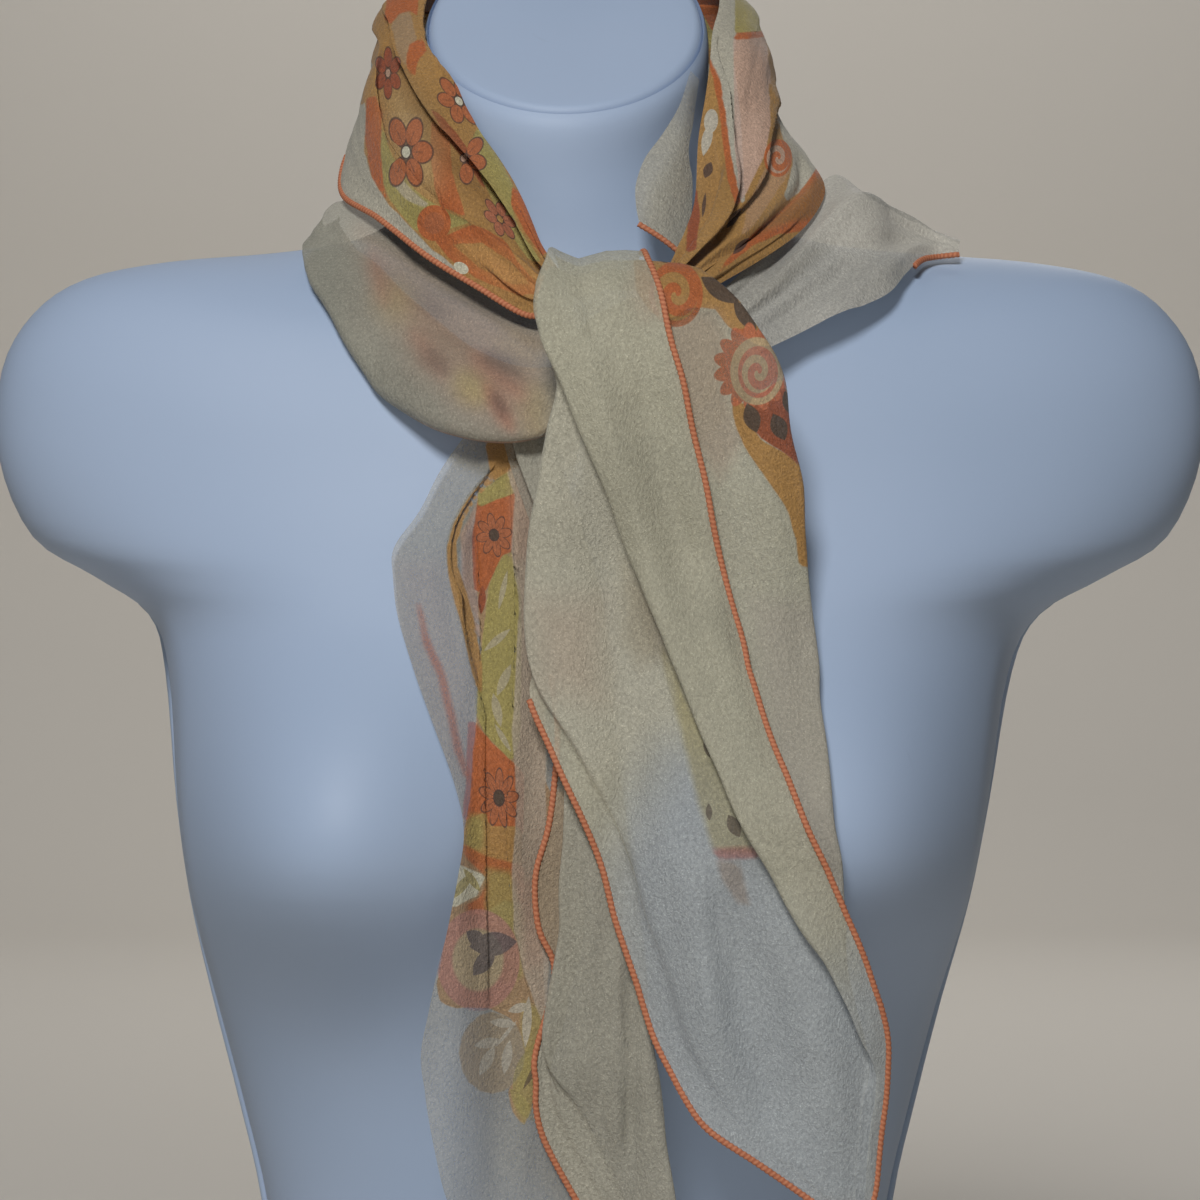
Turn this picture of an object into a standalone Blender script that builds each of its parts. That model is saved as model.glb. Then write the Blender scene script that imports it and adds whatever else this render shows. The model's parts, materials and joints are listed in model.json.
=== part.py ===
"""A square chiffon scarf tied at the neck of a limbless bust dress form.

The scarf is a single square of cloth, folded on the diagonal, laid round the back of the
neck and tied in front with one half knot. Both corners hang down in front. Each stretch of
it that shows is a thin wall of its own, and its orange rolled hem is a cord along the edge.

Units: the tables are in millimetres and the objects in metres. +X is to the right as seen
from the front, +Y is towards the form's back and +Z is up; z = 0 is the form's flat base.
"out" is the distance in front of the plane y = 0, so out = -y.
"""

import math

import bpy
import bmesh
import numpy as np
from mathutils import Vector
from mathutils.bvhtree import BVHTree

MM = 0.001

# ---------------------------------------------------------------- driving sizes, millimetres
CLOTH = 1.1             # wall of one layer of cloth
HEM_RADIUS = 1.3        # rolled and overlocked hem
SEAM_GAP = 0.4          # clearance between pieces that meet
END_GAP = 0.5           # how far each stretch of the band stops short of the next
FORM_GAP = 2.6          # least distance from the middle of a wall to the form

FORM_SIDES = 40         # points round one ring of the dress form
BUST_X = 92.0           # half the distance between the bust points
BUST_CENTRE = -5.0
BUST_Z = 270.0
BUST_HEIGHT = 60.0
BUST_WIDTH = 43.0
BUST_ABOVE = 46.0
BUST_BELOW = 34.0

BACK_LAYER_GAP = 2.7    # between the back tail's print and the border folded over it
BACK_STAND_OFF = 4.5    # back tail, in front of the form
FRONT_STAND_OFF = 5.0   # front tail, in front of the form
FRONT_OVER_BACK = 14.0  # further room for the back tail beneath the front one
BACK_TAIL_REACH = (26.0, 66.0)  # x where that room begins to close and where it is closed

FRONT_STEPS = (2, 7, 5, 5)   # points along each stretch of the front tail's section
BACK_STEPS = (7, 3, 2, 3)    # and of the back tail's
POUCH_STEPS = (6, 4)         # and of the left wing's
FOLD_STEPS = 4               # points round a fold
LEAN_LENGTH = 4.0            # a stretch about this short leans between two layers
OPEN_STEP = 4.0              # half length of the step left where a fold has opened


# ---------------------------------------------------------------- tables

def columns(names, rows):
    """A table as a dict with one array of numbers for each named column."""
    values = np.array(rows, dtype=float)
    return {name: values[:, i] for i, name in enumerate(names.split())}


# One row for each ring of the dress form. side, front and back are the ring's heights there;
# flat is 2 where the ring bends like a saddle and 1 where it lies in one slanted plane.
FORM_RINGS = columns(
    "side front back half centre deep_front deep_back flat", [
        (0, 0, 0, 124, -8, 85, 95, 2),
        (50, 50, 50, 110, -8, 80, 88, 2),
        (95, 95, 95, 103, -8, 76, 80, 2),
        (140, 140, 140, 108, -8, 80, 82, 2),
        (175, 175, 175, 116, -8, 86, 86, 2),
        (210, 210, 210, 125, -8, 93, 90, 2),
        (245, 245, 245, 134, -7, 98, 94, 2),
        (280, 280, 280, 140, -6, 100, 96, 2),
        (325, 325, 325, 146, -4, 98, 97, 2),
        (345, 340, 345, 155, -2, 96, 97, 2),
        (358, 352, 362, 176, 0, 93, 96, 2),
        (372, 364, 380, 198, 0, 89, 95, 2),
        (400, 385, 405, 210, 0, 83, 92, 2),
        (430, 405, 430, 209, 0, 78, 88, 2),
        (450, 420, 448, 198, 0, 73, 80, 2),
        (462, 432, 460, 180, 0, 68, 74, 2),
        (468, 440, 468, 150, -1, 63, 69, 2),
        (471, 446, 476, 112, -3, 59, 65, 2),
        (475, 452, 484, 82, -6, 55, 62, 2),
        (483, 460, 493, 63, -9, 52, 60, 2),
        (497, 474, 507, 54, -11, 50, 58, 1.6),
        (522, 492, 540, 50, -12, 50, 56, 1.2),
        (545, 508, 580, 50, -12, 52, 54, 1),
        (552, 515, 592, 48, -12, 50, 50, 1),
    ])

# The band round the neck, from the knot up its left side, behind the neck and down its right
# side. Each row is a section from its edge at the neck to its hem; roll is how far it bulges.
BAND = columns(
    "neck_x neck_out neck_z hem_x hem_out hem_z roll", [
        (-13, 82, 458, -15, 85, 446, 1),
        (-18, 75, 466, -24, 80, 444, 3),
        (-24, 64, 480, -40, 69, 454, 4),
        (-31, 53, 494, -57, 58, 465, 6),
        (-38, 42, 505, -75, 40, 480, 8),
        (-45, 31, 518, -89, 16, 491, 9),
        (-52, 18, 536, -89, -2, 506, 12),
        (-59, 0, 556, -82, -18, 520, 10),
        (-63, -26, 573, -78, -38, 526, 9),
        (-48, -54, 585, -56, -66, 528, 7),
        (-10, -64, 590, -10, -78, 530, 5),
        (25, -54, 584, 33, -66, 528, 7),
        (40, -28, 573, 53, -40, 526, 10),
        (42, -6, 560, 61, -16, 521, 10),
        (38, 16, 543, 63, 0, 518, 10),
        (35, 33, 521, 66, 8, 512, 9),
        (33, 44, 504, 72, 18, 502, 7),
        (32, 55, 487, 77, 30, 489, 6),
        (29, 68, 474, 64, 54, 471, 5),
        (27, 80, 463, 40, 80, 455, 2),
    ])
BAND_LEFT_END = 8       # last row of the left stretch and first of the one behind the neck
BAND_RIGHT_START = 12

# Creases are soft ridges (height above 0) and troughs: each runs from a to b, and width is
# its half width. On the band, a and b are row numbers and u, v the way across from the neck.
BAND_CREASES = columns(
    "row_a across_a row_b across_b width height", [
        (1, 0.45, 6, 0.62, 5, -5.0),
        (1, 0.75, 5, 0.88, 5, -3.0),
        (4, 0.25, 10, 0.30, 6, 3.0),
        (9, 0.60, 13, 0.55, 7, -3.0),
        (13, 0.75, 19, 0.35, 4, -4.5),
        (14, 1.00, 19, 0.70, 4, 3.5),
        (15, 0.45, 19, 0.15, 4, 3.0),
    ])
BAND_HEM_ROWS = 7       # rows from the knot along which the hem of the left band shows
BAND_ROW_LENGTH = 20.0  # usual distance between two sections of the band
BAND_WIDTH = 50.0

# The left wing: a pouch of two layers with its fold below, from the shoulder to the knot.
WING_LEFT = columns(
    "top_x top_out top_z fold_x fold_out fold_z puff", [
        (-89, 5, 489, -97, 12, 482, 2),
        (-87, 12, 484, -102, 26, 468, 3),
        (-79, 25, 477, -99, 43, 456, 4),
        (-68, 35, 470, -91, 56, 445, 5),
        (-57, 42, 464, -82, 68, 431, 6),
        (-48, 48, 458, -71, 80, 418, 7),
        (-40, 54, 453, -56, 92, 409, 7),
        (-31, 61, 448, -40, 98, 404, 5),
        (-24, 68, 444, -24, 101, 403, 4),
        (-14, 78, 440, -13, 100, 407, 2),
    ])
WING_LEFT_CREASES = columns(
    "row_a across_a row_b across_b width height", [
        (1, 0.55, 9, 0.35, 5, -3.0),
        (3, 0.90, 9, 0.70, 5, 2.5),
        (3, 0.65, 6, 0.55, 4, 1.5),
    ])

# The right wing: the stretched border between the knot and a free tip over the shoulder.
WING_RIGHT = columns(
    "top_x top_out top_z low_x low_out low_z puff", [
        (40, 78, 452, 53, 86, 432, 1),
        (50, 62, 462, 66, 78, 438, 2),
        (59, 44, 472, 78, 74, 444, 4),
        (68, 28, 484, 88, 68, 448, 5),
        (81, 16, 497, 97, 60, 453, 6),
        (93, 12, 490, 103, 48, 460, 5),
        (105, 13, 483, 109, 36, 466, 3),
        (115, 16, 478, 115, 28, 468, 2),
        (124, 21, 474, 123, 26, 469, 1),
    ])
WING_HEM_START = 5      # row of the wing past which its lower edge is hemmed
WING_RIGHT_CREASES = columns(
    "row_a across_a row_b across_b width height", [
        (1, 0.40, 7, 0.30, 6, 3.0),
        (1, 0.75, 6, 0.65, 6, -3.5),
    ])

# The neck flap: a loop of border that stands between the right band and the neck.
NECK_FLAP = columns(
    "neck_x neck_out neck_z band_x band_out band_z puff", [
        (31, 30, 531, 34, 29, 528, 0),
        (27, 40, 518, 32, 37, 515, 1),
        (21, 48, 507, 30, 46, 502, 2),
        (15, 54, 498, 31, 50, 492, 3),
        (12, 60, 489, 31, 55, 483, 3),
        (12, 65, 481, 30, 60, 474, 2),
        (13, 68, 475, 28, 68, 464, 1),
    ])

# The front tail, from behind the crest of the knot down to its corner. Its section runs from
# hem B behind it to the left fold, right to the right fold, back to the front fold and right
# again to hem A. gap is the distance between its layers.
TAIL_FRONT = columns(
    "z out hem_b left right front hem_a gap", [
        (450, 91, 0, -9, 28, -10, 11, 3.0),
        (456, 95, -4, -14, 31, -15, 13, 3.0),
        (454, 102, -7, -17, 36, -18, 15, 3.0),
        (445, 109, -9, -20, 46, -21, 19, 3.2),
        (432, 112, -7, -18, 54, -19, 22, 3.2),
        (419, 113, -4, -14, 59, -13, 26, 3.2),
        (404, 113, -6, -17, 61, -7, 29, 3.2),
        (388, 113, -9, -20, 65, 0, 33, 3.2),
        (372, 112, -13, -23, 66, 6, 36, 3.2),
        (356, 110, -14, -24, 67, 13, 40, 3.2),
        (338, 107, -18, -24, 69, 20, 45, 3.2),
        (328, 105, -21.5, -22.5, 70, 24, 47, 3.2),
        (318, 104, -22, -18, 70, 28, 50, 3.2),
        (300, 100, -14, -6, 72, 35, 56, 3.2),
        (281, 100, -5, 4, 73, 43, 63, 3.2),
        (266, 100, 1, 10, 76, 52, 70, 3.2),
        (250, 100, 5, 15, 77, 61, 77, 3.2),
        (238, 100, 9, 19, 77, 69, 82, 3.2),
        (229, 100, 12, 22, 76.5, 74.5, 85, 3.2),
        (222, 100, 14, 24, 75, 76.5, 87.5, 3.2),
        (213, 100, 17, 27, 72, 79, 89.5, 2.8),
        (203, 100, 22, 32, 68, 79.5, 89.5, 1.8),
        (194, 100, 27, 38, 66, 78, 89, 1.0),
        (185, 100, 34, 45, 66, 77, 88, 0.6),
        (175, 100, 49, 57, 70, 78, 87, 0.4),
        (166, 100, 62, 68, 74, 80, 86, 0.3),
        (159, 100, 72, 75, 78, 81, 84, 0.2),
    ])
HEM_B_START = 12        # row above which hem B lies hidden behind the left fold
BACK_HEM_START = 6      # row above which the back tail's hem lies under the front tail
BACK_HEM_END = 4        # rows from the corner up which the hem turns
FRONT_CREASES = columns(
    "x_a z_a x_b z_b width height", [
        (-8, 440, 24, 330, 7, 2.5),
        (8, 440, 34, 340, 6, -2.0),
        (-12, 380, -6, 270, 8, 2.0),
        (6, 380, 12, 260, 7, -2.5),
        (50, 430, 60, 320, 7, 3.0),
        (60, 260, 74, 180, 8, 3.0),
        (36, 260, 54, 185, 8, -3.0),
        (22, 280, 40, 200, 7, 2.5),
    ])

# The back tail. Its section runs from the left edge to the right fold, back to the front
# fold, under it to the inner fold and left again to the hem.
TAIL_BACK = columns(
    "z left right front inner hem gap", [
        (407, -42, -18, -30, -26, -33, 2.2),
        (393, -52, -13, -26, -21, -29, 2.4),
        (379, -59, -8, -21, -16, -24, 2.6),
        (367, -67, -4, -17, -12, -20, 2.7),
        (357, -67, -1, -15, -10, -18, 2.7),
        (344, -65, 2, -13, -8, -16, 2.7),
        (326, -59, 4, -12, -6, -15, 2.7),
        (308, -52, 5, -11, -4, -13, 2.7),
        (292, -46, 7, -12, -4, -14, 2.7),
        (277, -43, 9, -12, -4, -16, 2.7),
        (262, -45, 11, -13, -5, -20, 2.7),
        (246, -48, 13, -13, -5, -19, 2.7),
        (234, -51, 15, -15, -7, -14, 2.7),
        (220, -54, 16, -17, -10, -16, 2.7),
        (210, -56, 17, -18, -13, -19, 2.7),
        (203, -56, 18, -16.5, -15, -20.5, 2.7),
        (197, -55, 19, -13, -15.5, -20, 2.4),
        (189, -54, 20, -7, -14, -20, 1.6),
        (178, -52, 21, -1, -9, -17, 1.0),
        (161, -48, 24, 7, 0, -8, 0.7),
        (142, -40, 26, 15, 9, 3, 0.6),
        (131, -28, 26, 20, 15, 9, 0.6),
        (125, -8, 25, 21, 17, 12, 0.6),
    ])
BACK_CREASES = columns(
    "x_a z_a x_b z_b width height", [
        (-32, 400, -48, 365, 5, 3.0),
        (-48, 365, -40, 315, 5, 3.0),
        (-40, 385, -38, 230, 4, -3.0),
        (-29, 392, -27, 250, 5, 3.0),
        (-58, 375, -56, 330, 6, -2.0),
        (-44, 260, -47, 150, 7, 2.5),
        (-32, 230, -34, 150, 7, -3.0),
        (10, 240, 8, 180, 5, -2.5),
    ])

KNOT_CENTRE = (15.0, 88.0, 427.0)   # x, out, z
KNOT_HALF_SIZE = (25.0, 12.0, 20.0)
KNOT_TURNS = 3          # rolls of cloth that show on the knot
KNOT_ROLL = 1.6         # how far each stands out


# ---------------------------------------------------------------- curves and surfaces

def clamp(value, low=-1.0, high=1.0):
    return max(low, min(high, value))


def ease(value):
    """0 below 0, 1 above 1 and a smooth step between."""
    value = clamp(value, 0.0, 1.0)
    return value * value * (3 - 2 * value)


def larger(a, b, blend=6.0):
    """The larger of two numbers, rounded off where they are nearly equal."""
    return 0.5 * (a + b + math.hypot(a - b, blend))


def crease_height(u, v, creases):
    """Height at (u, v) of the soft ridges and troughs in a table of six columns."""
    total = 0.0
    for u_a, v_a, u_b, v_b, width, height in zip(*creases.values()):
        length = math.hypot(u_b - u_a, v_b - v_a)
        along = ((u - u_a) * (u_b - u_a) + (v - v_a) * (v_b - v_a)) / length ** 2
        off = abs((u - u_a) * (v_b - v_a) - (v - v_a) * (u_b - u_a)) / length
        taper = ease((along + 0.15) / 0.35) * ease((1.15 - along) / 0.35)
        total += height * taper * math.exp(-(off / width) ** 2)
    return total


def folded_section(rails, layers, long_steps, fold_steps=FOLD_STEPS):
    """Points (along, depth) of a section that runs from rail to rail and folds at each one.

    layers holds the depth of each stretch and long_steps its number of points. A fold where
    the section turns back is a half circle between two depths; where it runs on, the same
    curve opens to a gentle step. A stretch too short to lie flat leans from one depth
    towards the next.
    """
    starts, ends = [], []
    for k, layer in enumerate(layers):
        before = layers[max(k - 1, 0)]
        after = layers[min(k + 1, len(layers) - 1)]
        lean = 0.2 * (after - before) * math.exp(-((rails[k + 1] - rails[k]) / LEAN_LENGTH) ** 2)
        starts.append(layer - lean)
        ends.append(layer + lean)
    points = [(rails[0], starts[0])]
    for k in range(1, len(rails) - 1):
        low, high = ends[k - 1], starts[k]
        radius = max(abs(high - low) / 2, 0.4)
        behind = rails[k] - rails[k - 1]
        ahead = rails[k + 1] - rails[k]
        into, away = turn(behind, radius), turn(ahead, radius)
        broad = min(OPEN_STEP, 0.4 * abs(behind), 0.4 * abs(ahead))
        reach = radius + max(0.0, broad - radius) * max(0.0, into * away)
        start = (rails[k] - into * reach, low)
        leave = (rails[k] + into * reach / 3, low)
        arrive = (rails[k] - away * reach / 3, high)
        finish = (rails[k] + away * reach, high)
        points += straight(points[-1], start, long_steps[k - 1])
        points += bezier(start, leave, arrive, finish, fold_steps)
    points += straight(points[-1], (rails[-1], ends[-1]), long_steps[-1])
    return points


def turn(distance, radius):
    """1 or -1 for the way a stretch runs, and less for one about as short as its folds."""
    return clamp(distance / (2.6 * radius))


def straight(start, finish, steps):
    """Points from start to finish, without start."""
    return [tuple(a + (b - a) * i / steps for a, b in zip(start, finish))
            for i in range(1, steps + 1)]


def bezier(start, leave, reach, finish, steps):
    """Points along a cubic curve, without start."""
    points = []
    for i in range(1, steps + 1):
        t = i / steps
        weights = ((1 - t) ** 3, 3 * t * (1 - t) ** 2, 3 * t * t * (1 - t), t ** 3)
        corners = zip(start, leave, reach, finish)
        points.append(tuple(sum(w * c for w, c in zip(weights, corner)) for corner in corners))
    return points


# ---------------------------------------------------------------- the dress form

def bust(x, z):
    """How far the bust stands out from the plain torso."""
    spread = BUST_ABOVE if z > BUST_Z else BUST_BELOW
    rise = math.exp(-0.5 * ((z - BUST_Z) / spread) ** 2)
    sides = 0.0
    for side in (-1, 1):
        sides += math.exp(-0.5 * ((x - BUST_CENTRE - side * BUST_X) / BUST_WIDTH) ** 2)
    return BUST_HEIGHT * rise * sides


def form_rows(rings):
    """Rows of points round the dress form, from its base to the slanted cut of the neck."""
    rows = []
    for side, front, back, half, centre, deep_front, deep_back, flat in zip(*rings.values()):
        row = []
        for j in range(FORM_SIDES):
            angle = 2 * math.pi * j / FORM_SIDES
            across, behind = math.cos(angle), math.sin(angle)
            x = centre + half * across
            if behind < 0:
                z = side + (front - side) * abs(behind) ** flat
                y = deep_front * behind - bust(x, z) * min(1.0, -3 * behind)
            else:
                z = side + (back - side) * behind ** flat
                y = deep_back * behind
            row.append(Vector((x, y, z)))
        rows.append(row)
    return rows


def form_tree(rows):
    """The form's wall in a search tree, in millimetres."""
    count = len(rows[0])
    corners = [point for row in rows for point in row]
    faces = []
    for i in range(len(rows) - 1):
        for j in range(count):
            after = (j + 1) % count
            faces.append((i * count + j, i * count + after,
                          (i + 1) * count + after, (i + 1) * count + j))
    return BVHTree.FromPolygons(corners, faces)


class Hang:
    """How far out cloth hangs in front of the form: never nearer than anything above it."""

    LEFT, RIGHT, LOW, HIGH, STEP = -120.0, 130.0, 60.0, 470.0, 5.0

    def __init__(self, tree):
        across = int((self.RIGHT - self.LEFT) / self.STEP) + 1
        down = int((self.HIGH - self.LOW) / self.STEP) + 1
        front = np.zeros((down, across))
        for i in range(down):
            for j in range(across):
                origin = Vector((self.LEFT + j * self.STEP, -400, self.HIGH - i * self.STEP))
                hit = tree.ray_cast(origin, Vector((0, 1, 0)))[0]
                front[i, j] = -hit.y if hit else 0.0
        hanging = np.maximum.accumulate(front, axis=0)
        softened = hanging.copy()
        for _ in range(6):
            edged = np.pad(softened, 1, mode="edge")
            softened = (edged[:-2, 1:-1] + edged[2:, 1:-1] + edged[1:-1, :-2]
                        + edged[1:-1, 2:] + 2 * edged[1:-1, 1:-1]) / 6
        self.grid = np.maximum(softened, front)

    def out(self, x, z):
        """The hanging depth at (x, z), read between the four nearest grid points."""
        rows, cols = self.grid.shape
        i = clamp((self.HIGH - z) / self.STEP, 0, rows - 1.001)
        j = clamp((x - self.LEFT) / self.STEP, 0, cols - 1.001)
        top, left = int(i), int(j)
        down, across = i - top, j - left
        square = self.grid[top:top + 2, left:left + 2]
        upper = square[0, 0] * (1 - across) + square[0, 1] * across
        lower = square[1, 0] * (1 - across) + square[1, 1] * across
        return upper * (1 - down) + lower * down


def clear_of_form(tree, point, gap):
    """The point, moved straight away from the form where it is nearer than gap."""
    near, normal, _, _ = tree.find_nearest(point)
    if near is None:
        return point
    height = (point - near).dot(normal)
    if height < gap:
        return near + normal * gap
    return point


# ---------------------------------------------------------------- pieces of cloth, as rows

def place(x, out, z):
    return Vector((x, -out, z))


def band_rows(table, tree, across=9):
    """Rows across the neck band, from its neck edge to its hem."""
    neck = [place(*p) for p in zip(table["neck_x"], table["neck_out"], table["neck_z"])]
    hem = [place(*p) for p in zip(table["hem_x"], table["hem_out"], table["hem_z"])]
    rows = []
    for i in range(len(neck)):
        ahead = min(i + 1, len(neck) - 1)
        behind = max(i - 1, 0)
        run = (neck[ahead] + hem[ahead]) - (neck[behind] + hem[behind])
        away = run.cross(hem[i] - neck[i]).normalized()
        row = []
        for j in range(across):
            v = j / (across - 1)
            height = table["roll"][i] * math.sin(math.pi * v ** 0.8)
            height += crease_height(i * BAND_ROW_LENGTH, v * BAND_WIDTH,
                                    in_millimetres(BAND_CREASES))
            point = neck[i].lerp(hem[i], v) + away * height
            row.append(clear_of_form(tree, point, FORM_GAP))
        rows.append(row)
    return rows


def in_millimetres(creases):
    """Creases given by row number and way across, as distances along and across."""
    row_a, across_a, row_b, across_b, width, height = creases.values()
    return {"u_a": row_a * BAND_ROW_LENGTH, "v_a": across_a * BAND_WIDTH,
            "u_b": row_b * BAND_ROW_LENGTH, "v_b": across_b * BAND_WIDTH,
            "width": width, "height": height}


def patch_rows(table, tree, creases=None, across=9):
    """Rows of a single layer between a table's first and second edge, bulging by its puff."""
    first, second, puff = edges(table)
    rows = []
    for i in range(len(first)):
        away = outward(first, second, i)
        row = []
        for j in range(across):
            v = j / (across - 1)
            height = puff[i] * math.sin(math.pi * v)
            if creases:
                height += crease_height(i * BAND_ROW_LENGTH, v * BAND_WIDTH,
                                        in_millimetres(creases))
            point = first[i].lerp(second[i], v) + away * height
            row.append(clear_of_form(tree, point, FORM_GAP))
        rows.append(row)
    return rows


def edges(table):
    """The two edges of a patch as lists of points, and its puff."""
    values = list(table.values())
    first = [place(*p) for p in zip(*values[0:3])]
    second = [place(*p) for p in zip(*values[3:6])]
    return first, second, values[6]


def outward(first, second, i):
    """Unit vector square to the patch at row i, on the side that faces front or up."""
    ahead = min(i + 1, len(first) - 1)
    behind = max(i - 1, 0)
    run = (first[ahead] + second[ahead]) - (first[behind] + second[behind])
    away = (second[i] - first[i]).cross(run).normalized()
    return away if away.dot(Vector((0, -1, 0.6))) > 0 else -away


def pouch_rows(table, creases, tree):
    """Rows of a double layer that hangs from its top edge and folds back at the lower one."""
    first, second, puff = edges(table)
    rows = []
    for i in range(len(first)):
        away = outward(first, second, i)
        along = second[i] - first[i]
        length = along.length
        layer = 2.6 + 0.5 * puff[i]
        row = []
        for distance, depth in folded_section((0, length, 0.35 * length), (0, -layer),
                                              POUCH_STEPS):
            v = distance / length
            in_front = 1 + depth / layer
            opening = 0.35 + 0.65 * ease(v / 0.5)
            height = depth * opening + puff[i] * math.sin(math.pi * v) * in_front
            height += crease_height(i * BAND_ROW_LENGTH, v * BAND_WIDTH,
                                    in_millimetres(creases))
            point = first[i] + along * v + away * height
            row.append(clear_of_form(tree, point, FORM_GAP + layer * in_front * opening))
        rows.append(row)
    return rows


def tail_front_rows(hang):
    """Rows across the front tail, from behind the knot's crest to its corner."""
    table = TAIL_FRONT
    rows = []
    for i in range(len(table["z"])):
        row_at = {name: column[i] for name, column in table.items()}
        ahead = min(i + 1, len(table["z"]) - 1)
        behind = max(i - 1, 0)
        fall = Vector((table["out"][ahead] - table["out"][behind],
                       table["z"][ahead] - table["z"][behind])).normalized()
        gap = row_at["gap"]
        rails = [row_at[name] for name in ("hem_b", "left", "right", "front", "hem_a")]
        row = []
        for x, depth in folded_section(rails, (-gap, 0, gap, 2 * gap), FRONT_STEPS):
            z = row_at["z"] + depth * fall.x
            near_back = ease((BACK_TAIL_REACH[1] - x)
                             / (BACK_TAIL_REACH[1] - BACK_TAIL_REACH[0]))
            body = hang.out(x, z) + FRONT_STAND_OFF + FRONT_OVER_BACK * near_back
            out = larger(row_at["out"], body) - depth * fall.y
            row.append(place(x, out + crease_height(x, z, FRONT_CREASES), z))
        rows.append(row)
    return rows


def tail_back_rows(hang, tree):
    """Rows across the back tail, from under the left wing to its corner."""
    rows = []
    for i in range(len(TAIL_BACK["z"])):
        row_at = {name: column[i] for name, column in TAIL_BACK.items()}
        gap = row_at["gap"]
        rails = [row_at[name] for name in ("left", "right", "front", "inner", "hem")]
        layers = (0, BACK_LAYER_GAP + 2 * gap, BACK_LAYER_GAP + gap, BACK_LAYER_GAP)
        row = []
        for x, depth in folded_section(rails, layers, BACK_STEPS):
            z = row_at["z"]
            out = hang.out(x, z) + BACK_STAND_OFF + depth + crease_height(x, z, BACK_CREASES)
            row.append(clear_of_form(tree, place(x, out, z), FORM_GAP + 1 + depth))
        rows.append(row)
    return rows


# ---------------------------------------------------------------- making the objects

def material(name, colour, roughness):
    made = bpy.data.materials.new(name)
    made.use_nodes = True
    shader = made.node_tree.nodes["Principled BSDF"]
    shader.inputs["Base Color"].default_value = (*colour, 1.0)
    shader.inputs["Roughness"].default_value = roughness
    shader.inputs["Metallic"].default_value = 0.0
    return made


def mesh_object(name, points, faces, made, group):
    """A smooth-shaded object from points in millimetres."""
    mesh = bpy.data.meshes.new(name)
    mesh.from_pydata([point * MM for point in points], [], faces)
    mesh.shade_smooth()
    mesh.materials.append(made)
    thing = bpy.data.objects.new(name, mesh)
    group.objects.link(thing)
    return thing


def cloth(name, rows, made, group):
    """A wall of cloth through rows of points."""
    count = len(rows[0])
    faces = []
    for i in range(len(rows) - 1):
        for j in range(count - 1):
            corner = i * count + j
            faces.append((corner, corner + 1, corner + count + 1, corner + count))
    thing = mesh_object(name, [point for row in rows for point in row], faces, made, group)
    wall = thing.modifiers.new("Cloth", "SOLIDIFY")
    wall.thickness = CLOTH * MM
    wall.offset = 0.0
    wall.use_quality_normals = True
    return thing


def hem(name, edge, inner, made, group):
    """A hem cord just outside an edge; inner holds the points next to it in the cloth."""
    route = []
    for i, (point, neighbour) in enumerate(zip(edge, inner)):
        run = (edge[min(i + 1, len(edge) - 1)] - edge[max(i - 1, 0)]).normalized()
        away = point - neighbour
        away = (away - run * away.dot(run)).normalized()
        route.append(point + away * (HEM_RADIUS + SEAM_GAP))
    curve = bpy.data.curves.new(name, "CURVE")
    curve.dimensions = "3D"
    curve.bevel_depth = HEM_RADIUS * MM
    curve.bevel_resolution = 1
    curve.use_fill_caps = True
    line = curve.splines.new("POLY")
    line.points.add(len(route) - 1)
    for spot, point in zip(line.points, route):
        spot.co = (*(point * MM), 1.0)
    curve.materials.append(made)
    thing = bpy.data.objects.new(name, curve)
    group.objects.link(thing)
    return thing


def column(rows, j):
    return [row[j] for row in rows]


def round_corner(rows, down_from, up_to, short=0):
    """A tail's edge down its last column, round its tip and up its first, with neighbours.

    short is the number of rows at the tip that the edge leaves out.
    """
    last = len(rows) - short
    tip = (rows[-1][0] + rows[-1][-1]) / 2 - Vector((0, 0, 1))
    edge = column(rows, -1)[down_from:last] + [tip] + column(rows, 0)[up_to:last][::-1]
    above = tip + Vector((0, 0, 1))
    inner = column(rows, -2)[down_from:last] + [above] + column(rows, 1)[up_to:last][::-1]
    return edge, inner


def drawn_back(rows, first=True, last=True):
    """The rows with their end rows moved in a little, so that neighbours part."""
    rows = list(rows)
    if first:
        rows[0] = [moved(a, b) for a, b in zip(rows[0], rows[1])]
    if last:
        rows[-1] = [moved(a, b) for a, b in zip(rows[-1], rows[-2])]
    return rows


def moved(point, towards):
    return point + (towards - point).normalized() * END_GAP


def build_form(rows, made, group):
    """The closed dress form: its wall, a flat base and the slanted disc of the neck."""
    count = len(rows[0])
    points = [point for row in rows for point in row]
    faces = []
    for i in range(len(rows) - 1):
        for j in range(count):
            after = (j + 1) % count
            faces.append((i * count + j, i * count + after,
                          (i + 1) * count + after, (i + 1) * count + j))
    faces.append(tuple(reversed(range(count))))
    top = (len(rows) - 1) * count
    faces.append(tuple(range(top, top + count)))
    thing = mesh_object("form", points, faces, made, group)
    thing.data.set_sharp_from_angle(angle=math.radians(50))
    return thing


def build_knot(made, group):
    """The rolled cloth inside the half knot: an egg with a few soft turns round it."""
    shape = bmesh.new()
    bmesh.ops.create_uvsphere(shape, u_segments=24, v_segments=14, radius=1.0)
    for vert in shape.verts:
        x, y, z = vert.co
        turn = 1 + KNOT_ROLL / KNOT_HALF_SIZE[1] * math.cos(2 * math.pi * KNOT_TURNS * x / 2) / 3
        vert.co = place(KNOT_CENTRE[0] + x * KNOT_HALF_SIZE[0],
                        KNOT_CENTRE[1] - y * turn * KNOT_HALF_SIZE[1],
                        KNOT_CENTRE[2] + z * turn * KNOT_HALF_SIZE[2]) * MM
    mesh = bpy.data.meshes.new("knot")
    shape.to_mesh(mesh)
    shape.free()
    mesh.shade_smooth()
    mesh.materials.append(made)
    group.objects.link(bpy.data.objects.new("knot", mesh))


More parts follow.
